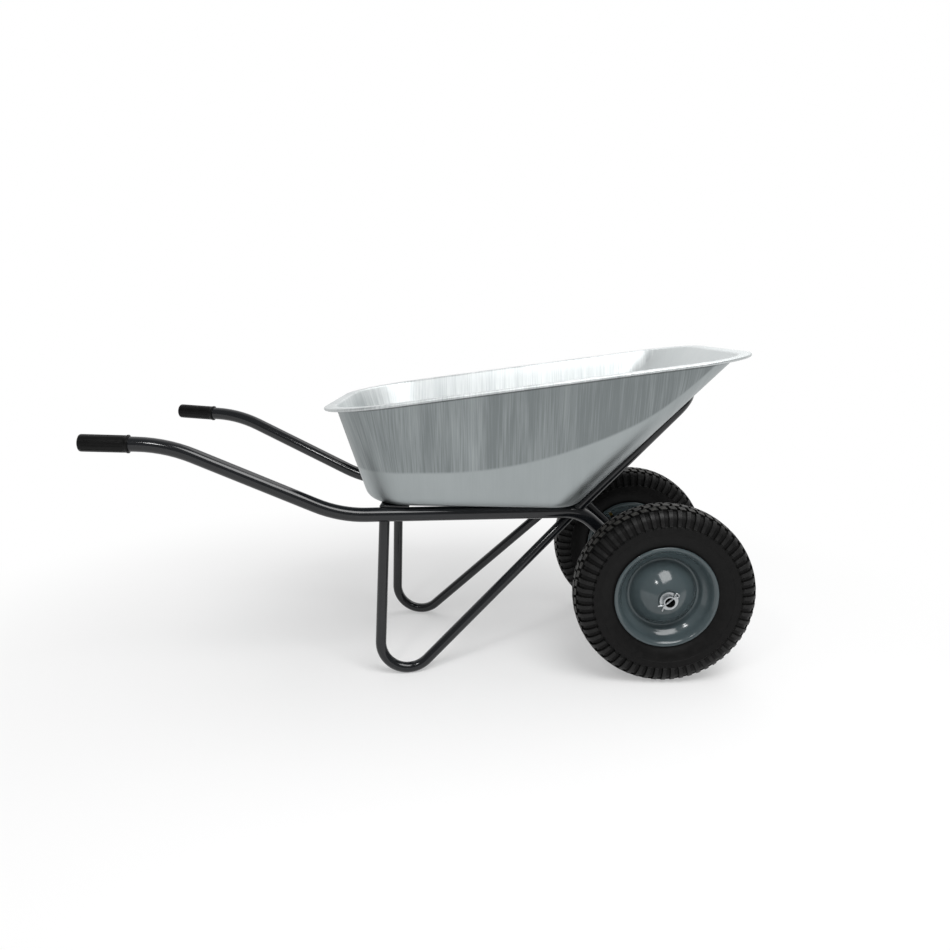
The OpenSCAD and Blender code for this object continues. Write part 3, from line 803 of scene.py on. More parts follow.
@dataclass
class TubeFrame:
    """The welded frame: main tubes, legs, front loop and cross bars."""

    layout: Layout
    rail_wall: float = 1.8 * MM
    upper_bend_r: float = 300 * MM
    lower_bend_r: float = 270 * MM
    front_bend_r: float = 100 * MM
    leg_d: float = 24 * MM
    leg_wall: float = 1.5 * MM
    foot_back: float = 393 * MM
    foot_r: float = 62 * MM
    leg_lean: float = math.radians(2.1)
    brace_angle: float = math.radians(44.5)
    leg_splay: float = math.radians(5.2)
    leg_top: float = 13 * MM
    brace_top: float = 8 * MM
    draw: float = 0.3 * MM
    loop_d: float = 26 * MM
    loop_wall: float = 1.5 * MM
    loop_rise: float = 353 * MM
    loop_bend_r: float = 52 * MM
    loop_gap: float = 0.05 * MM
    wall_head_x: float = 144 * MM
    bar_over: float = 4 * MM
    bar_edge: float = 1.2 * MM
    bar_edge_steps: int = 3
    bars: dict[str, tuple[float, float]] = field(
        default_factory=lambda: {
            "front_cross_bar": (-250 * MM, 40 * MM),
            "rear_cross_bar": (-594 * MM, 64 * MM),
        }
    )

    def main_tube(self, side: Side) -> Piece:
        """Builds a main tube from its grip to the axle.

        Args:
            side: the tube's side.

        Returns:
            The tube's object.
        """
        lay = self.layout
        plane = lay.rail_plane(side)
        bend, grip = lay.handle_line
        path = [
            grip,
            bend,
            lay.on_rail(-lay.rail_rear_x, lay.rail_rear_h),
            lay.front_corner,
            Vector((0, 0, lay.axle.z)),
        ]
        radii = [self.upper_bend_r, self.lower_bend_r, self.front_bend_r]
        name = f"{side.word}_main_tube_bent"
        return BentTube(name, [plane @ p for p in path], radii, lay.rail_d, self.rail_wall).build()

    def leg_place(self, side: Side) -> Matrix:
        """Where a leg's own plane lies, against the inner flank of its rail.

        Args:
            side: the leg's side.

        Returns:
            The matrix from the leg's plane to the barrow.
        """
        lay = self.layout
        return (
            lay.rail_plane(side)
            @ Matrix.Translation(lay.front_corner)
            @ Matrix.Rotation(lay.rail_tilt, 4, "Y")
            @ Matrix.Translation((0, (lay.rail_d + self.leg_d) / 2 / math.cos(self.leg_splay), 0))
            @ Matrix.Rotation(-self.leg_splay, 4, "X")
        )

    def leg_ways(self) -> tuple[Vector, Vector]:
        """Directions of the upright, down, and of the brace, up, in the leg's plane."""
        down = Vector((-math.sin(self.leg_lean), 0, -math.cos(self.leg_lean)))
        return down, Vector((math.cos(self.brace_angle), 0, math.sin(self.brace_angle)))

    def leg_line(self) -> tuple[Vector, Vector, Vector]:
        """Corner points of a leg's axis in its own plane.

        Returns:
            The upright's top, the corner at the foot and the brace's top.
        """
        tilt = self.layout.rail_tilt
        high = self.layout.front_corner.z + self.foot_back * math.sin(tilt)
        squash = math.sqrt(1 - (math.sin(self.leg_splay) * math.cos(tilt)) ** 2)
        drop = self.foot_r * squash + self.leg_d / 2 - self.draw - high
        centre = Vector((-self.foot_back, 0, drop / math.cos(self.leg_splay) / math.cos(tilt)))
        down, up = self.leg_ways()
        heel = centre - self.foot_r * Vector((math.cos(self.leg_lean), 0, -math.sin(self.leg_lean)))
        toe = centre - self.foot_r * Vector((-math.sin(self.brace_angle), 0, math.cos(self.brace_angle)))
        turn = math.pi / 2 + self.leg_lean + self.brace_angle
        corner = heel + down * self.foot_r * math.tan(turn / 2)
        start = heel - down * (self.leg_top - heel.z) / math.cos(self.leg_lean)
        end = toe + up * (self.brace_top - toe.z) / math.sin(self.brace_angle)
        return start, corner, end

    def leg(self, side: Side) -> Piece:
        """Builds a leg: upright, foot bend and brace.

        Args:
            side: the leg's side.

        Returns:
            The leg's object.
        """
        path = [self.leg_place(side) @ p for p in self.leg_line()]
        return BentTube(f"{side.word}_leg_bent", path, [self.foot_r], self.leg_d, self.leg_wall).build()

    def loop_line(self) -> list[Vector]:
        """Corner points of the loop's axis, from its right foot to its left one.

        Returns:
            The points.
        """
        lay = self.layout
        foot = Vector((-lay.floor_front_x, 0, lay.floor_h(-lay.floor_front_x)))
        head = Vector((self.wall_head_x, 0, lay.rim_plane_h(self.wall_head_x)))
        up = (head - foot).normalized()
        off = self.loop_d / 2 + lay.sheet_t + self.loop_gap
        base = foot + Vector((up.z, 0, -up.x)) * off
        low = (lay.rail_h(base.x) - base.z) / up.z
        half = lay.rail_y(base.x + low * up.x + lay.rail_d / 2)
        across = Vector((0, half, 0))
        base.x += lay.axle.x
        return [
            base + up * low - across,
            base + up * self.loop_rise - across,
            base + up * self.loop_rise + across,
            base + up * low + across,
        ]

    def front_loop(self) -> Piece:
        """Builds the loop that lies along the tray's front wall."""
        bends = [self.loop_bend_r] * 2
        return BentTube("front_loop_bent", self.loop_line(), bends, self.loop_d, self.loop_wall).build()

    def cross_bar(self, name: str) -> Piece:
        """Builds a flat cross bar with rolled edges.

        Args:
            name: the bar's node.

        Returns:
            The bar's object.
        """
        lay = self.layout
        x, width = self.bars[name]
        half = lay.rail_y(x) + self.bar_over
        bar = start_from(bpy.ops.mesh.primitive_cube_add, f"{name}_rolled", size=1)
        bar.scale = (width, 2 * half, lay.bar_t)
        settle(bar)
        with editing(bar):
            bpy.ops.mesh.bevel(offset=self.bar_edge, segments=self.bar_edge_steps, affect="EDGES")
        bar.matrix_world = (
            Matrix.Translation((lay.axle.x + x, 0, lay.deck_h(x)))
            @ Matrix.Rotation(lay.deck_tilt, 4, "Y")
            @ Matrix.Translation((0, 0, lay.bar_t / 2))
        )
        settle(bar)
        smooth(bar)
        return bar

    def build(self, finishes: Finishes) -> None:
        """Builds and dresses every tube and bar.

        Args:
            finishes: the barrow's finishes.
        """
        made = {"front_loop": self.front_loop()}
        for side in Side:
            made[f"{side.word}_main_tube"] = self.main_tube(side)
            made[f"{side.word}_leg"] = self.leg(side)
        for name in self.bars:
            made[name] = self.cross_bar(name)
        for node, piece in made.items():
            coat(piece, finishes.frame_paint)
            place(piece, "frame", node)
        Welds(self).build(made, finishes)


@dataclass
class Welds:
    """The weld beads where the legs and the loop meet the main tubes."""

    tubes: TubeFrame
    bead_r: float = 2.4 * MM
    bead_rise: float = 0.2
    cast_from: float = 78 * MM
    ring_steps: int = 96
    ring_sides: int = 10
    ring_ripples: int = 24
    seam_r: float = 2.8 * MM
    seam_half: float = 9 * MM
    seam_out: float = 8.5 * MM
    seam_off: float = 1.6 * MM
    seam_sides: int = 14
    seam_steps: int = 40
    seam_ripples: int = 8
    pole: float = 0.9999
    edge_angle: float = 60.0

    def build(self, made: dict[str, Piece], finishes: Finishes) -> None:
        """Lays and dresses every weld.

        Args:
            made: the tubes by their nodes.
            finishes: the barrow's finishes.
        """
        line = self.tubes.loop_line()
        for side, (foot, head) in zip(Side, (line[:2], line[:1:-1])):
            ring = self.ring(f"{side.word}_loop_weld", made[f"{side.word}_main_tube"], foot, head)
            seams = self.seams(f"{side.word}_leg_weld", side)
            for weld in (ring, seams):
                with editing(weld):
                    bpy.ops.mesh.normals_make_consistent(inside=False)
                smooth(weld, self.edge_angle)
                coat(weld, finishes.frame_paint)
                place(weld, "frame")

    def ring(self, name: str, tube: Piece, foot: Vector, head: Vector) -> Piece:
        """Lays a bead round a foot of the loop, where it runs into its main tube.

        Args:
            name: the weld's name.
            tube: the main tube.
            foot: end of the loop's axis, inside the main tube.
            head: a point further up that axis.

        Returns:
            The weld's object.
        """
        mesh = tube.data
        skin = BVHTree.FromPolygons([v.co for v in mesh.vertices], [p.vertices for p in mesh.polygons])
        down = (foot - head).normalized()
        side = down.orthogonal().normalized()
        front = down.cross(side)
        counts = {"major_segments": self.ring_steps, "minor_segments": self.ring_sides}
        weld = start_from(bpy.ops.mesh.primitive_torus_add, name, **counts)
        for i in range(self.ring_steps):
            turn = 2 * math.pi * i / self.ring_steps
            out = side * math.cos(turn) + front * math.sin(turn)
            above = foot - down * self.cast_from + out * self.tubes.loop_d / 2
            spot, normal, _, _ = skin.ray_cast(above, down)
            ripple = 1 + self.bead_rise * abs(math.sin(turn * self.ring_ripples / 2))
            for j in range(self.ring_sides):
                lean = 2 * math.pi * j / self.ring_sides
                way = out * math.cos(lean) + normal * math.sin(lean)
                weld.data.vertices[i * self.ring_sides + j].co = spot + way * self.bead_r * ripple
        return weld

    def seams(self, name: str, side: Side) -> Piece:
        """Lays short seams on both sides of a leg's upright and brace, against the rail's flank.

        Args:
            name: the weld's name.
            side: the leg's side.

        Returns:
            The weld's object.
        """
        tubes = self.tubes
        start, _, end = tubes.leg_line()
        spots = []
        for top, way in zip((start, end), tubes.leg_ways()):
            level = top - way * top.z / way.z
            across = Vector((way.z, 0, -way.x))
            turn = Vector((0, 0, 1)).rotation_difference(way).to_matrix().to_4x4()
            for hand in (-1, 1):
                spot = level + across * hand * self.seam_out
                spot.y = self.seam_off - tubes.leg_d / 2
                spots.append(tubes.leg_place(side) @ Matrix.Translation(spot) @ turn)
        bead = self._bead(name)
        copies = [copy_of(bead, name, spot) for spot in spots[1:]]
        bead.data.transform(spots[0])
        take(bead)
        for copy in copies:
            copy.select_set(True)
        bpy.ops.object.join()
        return bead

    def _bead(self, name: str) -> Piece:
        """Shapes one short rippled bead along Z from a sphere.

        Args:
            name: the bead's name.

        Returns:
            The bead's object.
        """
        counts = {"segments": self.seam_sides, "ring_count": self.seam_steps}
        bead = start_from(bpy.ops.mesh.primitive_uv_sphere_add, name, radius=1, **counts)
        for vert in bead.data.vertices:
            h = max(-1.0, min(1.0, vert.co.z))
            flat = vert.co.xy.normalized() if abs(h) < self.pole else vert.co.xy * 0
            wide = math.sqrt(1 - h**4) * (1 + self.bead_rise * abs(math.sin(h * self.seam_ripples)))
            vert.co = (*(flat * wide * self.seam_r), h * self.seam_half)
        return bead


@dataclass
class Tray:
    """The pressed tray: floor, fillet, walls, flange and rolled bead in one sheet."""

    layout: Layout
    rim_rear_x: float = 746 * MM
    rim_front_x: float = 170 * MM
    rim_half: float = 306 * MM
    flange_w: float = 26 * MM
    bead_d: float = 7 * MM
    floor_rear_x: float = 661 * MM
    floor_half: float = 200 * MM
    rim_rear_r: float = 170 * MM
    rim_front_r: float = 145 * MM
    floor_rear_r: float = 110 * MM
    floor_front_r: float = 75 * MM
    fillet_r: float = 36 * MM
    brow: float = 5 * MM
    corner_steps: int = 16
    side_steps: int = 14
    end_steps: int = 6
    fillet_steps: int = 8
    wall_steps: int = 10
    brow_steps: int = 5
    bead_steps: int = 12
    bead_end: float = -200.0
    edge_angle: float = 60.0
    near: float = 0.1 * MM
    least_straight: float = 40 * MM

    def floor_ring(self) -> Piece:
        """Makes the floor's outline as a ring of edges with round corners.

        Returns:
            The object with the ring.
        """
        length = self.floor_rear_x - self.layout.floor_front_x
        middle = -(self.floor_rear_x + self.layout.floor_front_x) / 2
        ring = start_from(bpy.ops.mesh.primitive_plane_add, "tray_pressed", size=1, location=(middle, 0, 0))
        ring.scale = (length, 2 * self.floor_half, 1)
        settle(ring)
        ends = {-self.layout.floor_front_x: self.floor_front_r, -self.floor_rear_x: self.floor_rear_r}
        for end, radius in ends.items():
            with editing(ring):
                select(
                    ring,
                    Pick.VERT,
                    lambda v: abs(v.co.y) > self.floor_half - MM and abs(v.co.x - end) < MM,
                )
                bpy.ops.mesh.bevel(affect="VERTICES", offset=radius, segments=self.corner_steps)
        with editing(ring):
            bpy.ops.mesh.delete(type="ONLY_FACE")
            for along_x, steps in ((True, self.side_steps), (False, self.end_steps)):
                self._split_straights(ring, along_x, steps)
        return ring

    def _split_straights(self, ring: Piece, along_x: bool, steps: int) -> None:
        """Splits the ring's two long sides or its two ends into equal steps.

        Args:
            ring: the ring, in edit mode.
            along_x: whether the sides along X are split, or those along Y.
            steps: how many pieces each gets.
        """

        def straight(edge: bmesh.types.BMEdge) -> bool:
            """Says whether an edge is one of those."""
            way = edge.verts[1].co - edge.verts[0].co
            return abs(way.y if along_x else way.x) < self.near and way.length > self.least_straight

        select(ring, Pick.EDGE, straight)
        bpy.ops.mesh.subdivide(number_cuts=steps - 1)

    def rim_point(self, p: Vector) -> tuple[Vector, Vector]:
        """Finds the point of the rim's inner edge over a point of the floor's outline.

        Args:
            p: the point, relative to the axle.

        Returns:
            The rim's point and the outward direction, both in plan.
        """
        ahead = p.x > -(self.floor_rear_x + self.layout.floor_front_x) / 2
        away = 1 if p.y > 0 else -1
        front = self.flange_w - self.rim_rear_x, self.rim_front_x - self.flange_w
        half = self.rim_half - self.flange_w
        radii = {False: self.floor_rear_r, True: self.floor_front_r}
        over = {False: self.rim_rear_r - self.flange_w, True: self.rim_front_r - self.flange_w}
        low = {False: -self.floor_rear_x + radii[False], True: -self.layout.floor_front_x - radii[True]}
        high = {False: front[0] + over[False], True: front[1] - over[True]}
        side = self.floor_half - radii[ahead]
        beyond = (p.x - low[ahead]) * (1 if ahead else -1)
        aside = abs(p.y) - side
        if beyond > 0 and aside > 0:
            out = Vector((beyond * (1 if ahead else -1), aside * away, 0)).normalized()
            centre = Vector((high[ahead], away * (half - over[ahead]), 0))
            return centre + out * over[ahead], out
        if beyond > 0:
            out = Vector((1 if ahead else -1, 0, 0))
            y = p.y / side * (half - over[ahead])
            return Vector((front[1] if ahead else front[0], y, 0)), out
        share = (p.x - low[False]) / (low[True] - low[False])
        x = high[False] + share * (high[True] - high[False])
        return Vector((x, away * half, 0)), Vector((0, away, 0))

    def section(self, p: Vector) -> list[Vector]:
        """The sheet's upper side over one point of the floor's outline, from the floor to the bead.

        Args:
            p: the point, relative to the axle.

        Returns:
            The section's points.
        """
        lay = self.layout
        over, n = self.rim_point(p)
        base = Vector((p.x, p.y, lay.floor_h(p.x)))
        top = Vector((over.x, over.y, lay.rim_plane_h(over.x)))
        wall = (top - base).normalized()
        inward = Vector((-n.x, -n.y, math.tan(lay.deck_tilt) * n.x)).normalized()
        out = Vector((n.x, n.y, math.tan(lay.rim_tilt) * n.x)).normalized()
        rim_up = Vector((-math.sin(lay.rim_tilt), 0, math.cos(lay.rim_tilt)))
        run = (self.fillet_r - lay.sheet_t) / math.tan(inward.angle(wall) / 2)
        foot, head = base + wall * run, top - wall * self.brow
        rows = quadratic(base + inward * run, base, foot, self.fillet_steps)
        rows += [foot.lerp(head, i / self.wall_steps) for i in range(1, self.wall_steps)]
        rows += quadratic(head, top, top + out * self.brow, self.brow_steps)
        edge = top + out * (self.flange_w - self.bead_d / 2)
        roll = edge - rim_up * self.bead_d / 2
        for i in range(self.bead_steps + 1):
            a = math.radians(90 + (self.bead_end - 90) * i / self.bead_steps)
            rows.append(roll + (out * math.cos(a) + rim_up * math.sin(a)) * self.bead_d / 2)
        return rows

    def build(self, finishes: Finishes) -> None:
        """Presses the sheet row by row from the floor's ring and dresses it.

        Args:
            finishes: the barrow's finishes.
        """
        tray = self.floor_ring()
        axle = Vector((self.layout.axle.x, 0, 0))
        plan = [v.co.copy() for v in tray.data.vertices]
        sections = [self.section(p) for p in plan]
        count = len(sections[0])
        with editing(tray):
            with edit_mesh(tray) as mesh:
                station = mesh.verts.layers.int.new("station")
                mesh.verts.layers.int.new("row")
                for i, vert in enumerate(mesh.verts):
                    vert[station] = i
                    vert.co = sections[i][0] + axle
            bpy.ops.mesh.select_mode(type="EDGE")
            bpy.ops.mesh.select_all(action="SELECT")
            for row in range(1, count):
                bpy.ops.mesh.extrude_region_move()
                with edit_mesh(tray) as mesh:
                    station, row_of = (mesh.verts.layers.int[name] for name in ("station", "row"))
                    for vert in mesh.verts:
                        if vert.select:
                            vert.co = sections[vert[station]][row] + axle
                            vert[row_of] = row
            self._close_floor(tray)
            self._map_sheet(tray, plan, sections)
        coat(tray, finishes.tray_inside, finishes.tray_outside)
        outside = {"material_offset": 1, "material_offset_rim": 1}
        apply_modifier(tray, "SOLIDIFY", thickness=self.layout.sheet_t, offset=-1.0, **outside)
        smooth(tray, self.edge_angle)
        place(tray, "frame", "tray")

    def _close_floor(self, tray: Piece) -> None:
        """Fills the floor's ring and turns every face towards the load.

        Args:
            tray: the tray, in edit mode.
        """
        row_of = bmesh.from_edit_mesh(tray.data).verts.layers.int["row"]
        select(tray, Pick.VERT, lambda vert: vert[row_of] == 0)
        bpy.ops.mesh.edge_face_add()
        bpy.ops.mesh.select_all(action="SELECT")
        bpy.ops.mesh.normals_make_consistent(inside=False)
        mesh = bmesh.from_edit_mesh(tray.data)
        floor = max(mesh.faces, key=lambda f: len(f.verts))
        if floor.normal.z < 0:
            bpy.ops.mesh.flip_normals()

    def _lengths(
        self, plan: list[Vector], sections: list[list[Vector]], side: Side
    ) -> dict[tuple[int, int], float]:
        """Lengths along half of the sheet: along X on the side wall, along Y on the rear wall.

        They set the streaks upright on both walls, and are spread evenly round the corner between.

        Args:
            plan: the floor's outline.
            sections: the section at each station of it.
            side: which half.

        Returns:
            The length at each station and row of the half.
        """
        half = [i for i, p in enumerate(plan) if p.y * side.value > -self.near]
        middle = sum(p.x for p in plan) / len(plan)
        half.sort(key=lambda i: math.atan2(abs(plan[i].y), middle - plan[i].x))
        flank = [i for i in half if abs(abs(plan[i].y) - self.floor_half) < self.near]
        rear = [i for i in half if abs(plan[i].x - plan[half[0]].x) < self.near]
        bend = half[half.index(rear[-1]) : half.index(flank[0]) + 1]
        ahead = half[half.index(flank[-1]) :]
        rows = range(len(sections[0]))
        found = {(i, row): sections[i][row].x for i in flank for row in rows}
        turns = {row: [0.0] for row in rows}
        for row in rows:
            for a, b in zip(bend, bend[1:]):
                turns[row].append(turns[row][-1] + (sections[b][row] - sections[a][row]).xy.length)
            for a, b in zip(ahead, ahead[1:]):
                found[b, row] = found[a, row] + (sections[b][row] - sections[a][row]).xy.length
        low = len(rows) // 3
        centre = sections[flank[0]][low].x - turns[low][-1] - abs(sections[rear[-1]][low].y)
        for row in rows:
            for i in rear:
                found[i, row] = centre + abs(sections[i][row].y)
            begin, end = found[rear[-1], row], found[flank[0], row]
            for i, run in zip(bend, turns[row]):
                found[i, row] = begin + (end - begin) * run / turns[row][-1]
        return found

    def _map_sheet(self, tray: Piece, plan: list[Vector], sections: list[list[Vector]]) -> None:
        """Gives the sheet a UV map in metres: round the walls, and up them from the foot of the flange.

        Args:
            tray: the tray, in edit mode.
            plan: the floor's outline.
            sections: the section at each station of it.
        """
        along = {side: self._lengths(plan, sections, side) for side in Side}
        up = [0.0]
        for a, b in zip(sections[0], sections[0][1:]):
            up.append(up[-1] + (b - a).length)
        top = up[self.fillet_steps + self.wall_steps]
        with edit_mesh(tray) as mesh:
            station, row_of = (mesh.verts.layers.int[name] for name in ("station", "row"))
            layer = mesh.loops.layers.uv.verify()
            for face in mesh.faces:
                side = Side.LEFT if face.calc_center_median().y > 0 else Side.RIGHT
                flat = len(face.verts) > 4
                for loop in face.loops:
                    spot = loop.vert[station], loop.vert[row_of]
                    loop[layer].uv = loop.vert.co.xy if flat else (along[side][spot], up[spot[1]] - top)


@dataclass(frozen=True)
class TreadRow:
    """A row of tread blocks on both halves of a tyre.

    Attributes:
        inner: distance of its inner edge from the middle plane, in mm.
        outer: distance of its outer edge, in mm.
        start: first step of a pitch that the groove between two blocks takes.
        gap: steps that the groove takes.
    """

    inner: float
    outer: float
    start: int
    gap: int


@dataclass
class Wheel:
    """A pneumatic wheel: tyre with its tread, and two pressed rim halves."""

    centre: Vector
    radius: float = 200 * MM
    lip_r: float = 114.3 * MM
    seat_r: float = 101.6 * MM
    face: float = 41 * MM
    hub_r: float = 21 * MM
    dome_r: float = 71 * MM
    dome_edge: float = 2 * MM
    dome_foot: float = 6 * MM
    dome_top: float = 51 * MM
    dome_knee: tuple[float, float] = (0.34, 0.66)
    dome_steps: int = 12
    inner_top: float = 48 * MM
    rim_t: float = 2 * MM
    rim_steps: int = 72
    rim_angle: float = 70.0
    tread_depth: float = 4.5 * MM
    tread_foot_r: float = 160 * MM
    shoulder_in: float = 2.4
    groove_lean: float = 0.4
    tyre_angle: float = 32.0
    chamfer: float = 0.7 * MM
    pitches: int = 60
    pitch_steps: int = 8
    rows: tuple[TreadRow, ...] = (TreadRow(0, 10, 3, 2), TreadRow(13, 27, 7, 2), TreadRow(30, 51, 2, 4))
    zigzag: tuple[tuple[float, float], ...] = ((0.0, 0.0), (11.5, 4.0), (28.5, 0.0), (60.0, 0.0))

    def tyre_line(self) -> list[Vector]:
        """Half of the casing's section, from the crown's groove bottom to the bead.

        Returns:
            Points with the radius in X and the distance from the middle plane in Y.
        """
        deep = self.tread_depth
        crown = [(200, 0), (200, 5), (199.9, 10), (199.6, 13), (198.5, 20), (197, 27), (196.2, 30), (194, 35)]
        shoulder = [(191, 39.7), (187, 42.7), (181, 45.4), (172, 47.6), (163, 48.4)]
        side = [(160, 49.9), (150, 50), (146, 49.6), (145.4, 49), (138, 47.8), (129, 44.4), (122, 40.5)]
        bead = [(118, 37.4), (114, 35.6), (108, 35), (104, 31)]
        line = [Vector((r * MM - deep, y * MM, 0)) for r, y in crown]
        for i, (r, y) in enumerate(shoulder):
            lean = i / (len(shoulder) - 1)
            aside = (y - self.shoulder_in * lean) * MM - deep * self.groove_lean * (1 - lean)
            line.append(Vector((r * MM - deep * (1 - lean), aside, 0)))
        return line + [Vector((r * MM, y * MM, 0)) for r, y in side + bead]

    def build_tyre(self, name: str) -> Piece:
        """Spins the casing and raises its tread blocks.

        Args:
            name: the tyre's name.

        Returns:
            The tyre's object, with slot 0 on the casing, 1 on the crown's blocks and 2 on the shoulder's.
        """
        half = self.tyre_line()
        line = [Vector((p.x, -p.y, 0)) for p in reversed(half[1:])] + half
        tyre = draw_line(name, [self.centre + p for p in line])
        spin_round(tyre, self.centre, self.pitches * self.pitch_steps)
        step = 2 * math.pi / (self.pitches * self.pitch_steps)
        crown = self.rows[-1].inner
        with editing(tyre):
            select(tyre, Pick.FACE, lambda face: self._is_block(face.calc_center_median(), step))
            rise = {"value": self.tread_depth - self.chamfer}
            bpy.ops.mesh.extrude_region_shrink_fatten(TRANSFORM_OT_shrink_fatten=rise)
            bpy.ops.mesh.inset(thickness=self.chamfer, depth=self.chamfer)
            with edit_mesh(tyre) as mesh:
                for face in mesh.faces:
                    if face.select:
                        face.material_index = 1 if self._polar(face.calc_center_median())[1] < crown else 2
                for vert in mesh.verts:
                    vert.co = self._skewed(vert.co)
        smooth(tyre, self.tyre_angle)
        return tyre

    def _polar(self, point: Vector) -> tuple[float, float, float]:
        """Radius, distance from the middle plane in mm, and angle of a point on the wheel."""
        d = point - self.centre
        return math.hypot(d.x, d.z), abs(d.y) / MM, math.atan2(d.z, d.x)

    def _is_block(self, point: Vector, step: float) -> bool:
        """Says whether a face of the casing carries a tread block.

        Args:
            point: the face's middle.
            step: angle of one face round the casing.

        Returns:
            True on a block.
        """
        r, y, angle = self._polar(point)
        if r < self.tread_foot_r:
            return False
        column = math.floor(angle / step)
        for row in self.rows:
            if row.inner <= y <= row.outer:
                return (column - row.start) % self.pitch_steps >= row.gap
        return False

    def _skewed(self, point: Vector) -> Vector:
        """Turns a point of the crown about the axle so that the grooves run in a zigzag.

        Args:
            point: the point.

        Returns:
            The moved point.
        """
        r, y, _ = self._polar(point)
        if r < self.tread_foot_r:
            return point
        for (y0, s0), (y1, s1) in zip(self.zigzag, self.zigzag[1:]):
            if y0 <= y <= y1:
                turn = (s0 + (s1 - s0) * (y - y0) / (y1 - y0)) * MM / self.radius
                return Matrix.Rotation(-turn, 3, "Y") @ (point - self.centre) + self.centre
        return point

    def rim_line(self) -> list[Vector]:
        """Middle line of the outer rim half, from the lip in to the hub.

        Returns:
            Points with the radius in X and the distance out from the middle plane in Y.
        """
        lip, seat, dome = self.lip_r / MM, self.seat_r / MM, self.dome_r / MM
        face = self.face / MM
        line = [(lip - 0.4, face - 3.8), (lip - 1.2, face - 1.9), (lip - 3.6, face - 1)]
        line += [(lip - 6.6, face - 2.2), (seat + 3.4, face - 5.4), (seat + 0.8, face - 9)]
        line += [(seat - 0.8, face - 12.5)]
        bowl = [(seat - 3, 23.4), (seat - 6.5, 19.4), (seat - 10.5, 15.8), (seat - 14.6, 12.8)]
        ridge = [(seat - 16.8, 11), (seat - 18.4, 7.6), (seat - 20, 3.6), (seat - 22.4, 1.6)]
        line += bowl + ridge + [(dome + 5, 1.2), (dome + self.dome_edge / MM, 2.6)]
        foot = Vector((self.dome_r, self.dome_foot, 0))
        head = Vector((self.hub_r, self.dome_top, 0))
        along, up = self.dome_knee
        knee = Vector((foot.x + along * (head.x - foot.x), foot.y + up * (head.y - foot.y), 0))
        return [Vector((r * MM, y * MM, 0)) for r, y in line] + quadratic(foot, knee, head, self.dome_steps)

    def build_rim(self, name: str, squeeze: float) -> Piece:
        """Spins a pressed rim half and gives it its thickness.

        Args:
            name: the half's name.
            squeeze: depth of its dome against the outer half's.

        Returns:
            The half's object, with its dome towards -Y.
        """
        points = []
        for p in self.rim_line():
            deep = p.y if p.x > self.dome_r + self.dome_edge else p.y * squeeze
            points.append(self.centre + Vector((p.x, -deep, 0)))
        rim = draw_line(name, points)
        spin_round(rim, self.centre, self.rim_steps)
        apply_modifier(rim, "SOLIDIFY", thickness=self.rim_t, offset=0.0)
        apply_modifier(rim, "SUBSURF", levels=1, render_levels=1)
        smooth(rim, self.rim_angle)
        return rim


@dataclass
class Wheels:
    """Both wheels: each piece is made on the right and copied to the left."""

    finishes: Finishes

    def build(self) -> None:
        """Builds and dresses both wheels."""
        low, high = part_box("right_tyre")
        wheel = Wheel((low + high) / 2)
        mirror = Matrix.Scale(-1, 4, (0, 1, 0))
        inner = Matrix.Translation(wheel.centre) @ mirror @ Matrix.Translation(-wheel.centre)
        tyre = wheel.build_tyre("right_tyre_treaded")
        outer_rim = wheel.build_rim("right_outer_rim_pressed", 1.0)
        inner_rim = wheel.build_rim("right_inner_rim_pressed", wheel.inner_top / wheel.dome_top)
        inner_rim.data.transform(inner)
        inner_rim.data.flip_normals()
        rubber = (self.finishes.tyre, self.finishes.tread, self.finishes.shoulder)
        paint = (self.finishes.rim_paint,)
        for what, right, slot, skins in (
            ("tyre", tyre, "tyre_rubber", rubber),
            ("outer_rim", outer_rim, "rim_paint", paint),
            ("inner_rim", inner_rim, "rim_paint", paint),
        ):
            coat(right, *skins)
            left = copy_of(right, right.name.replace("right", "left"), mirror)
            for side, piece in ((Side.RIGHT, right), (Side.LEFT, left)):
                place(piece, side.wheel_body, f"{side.word}_{what}")


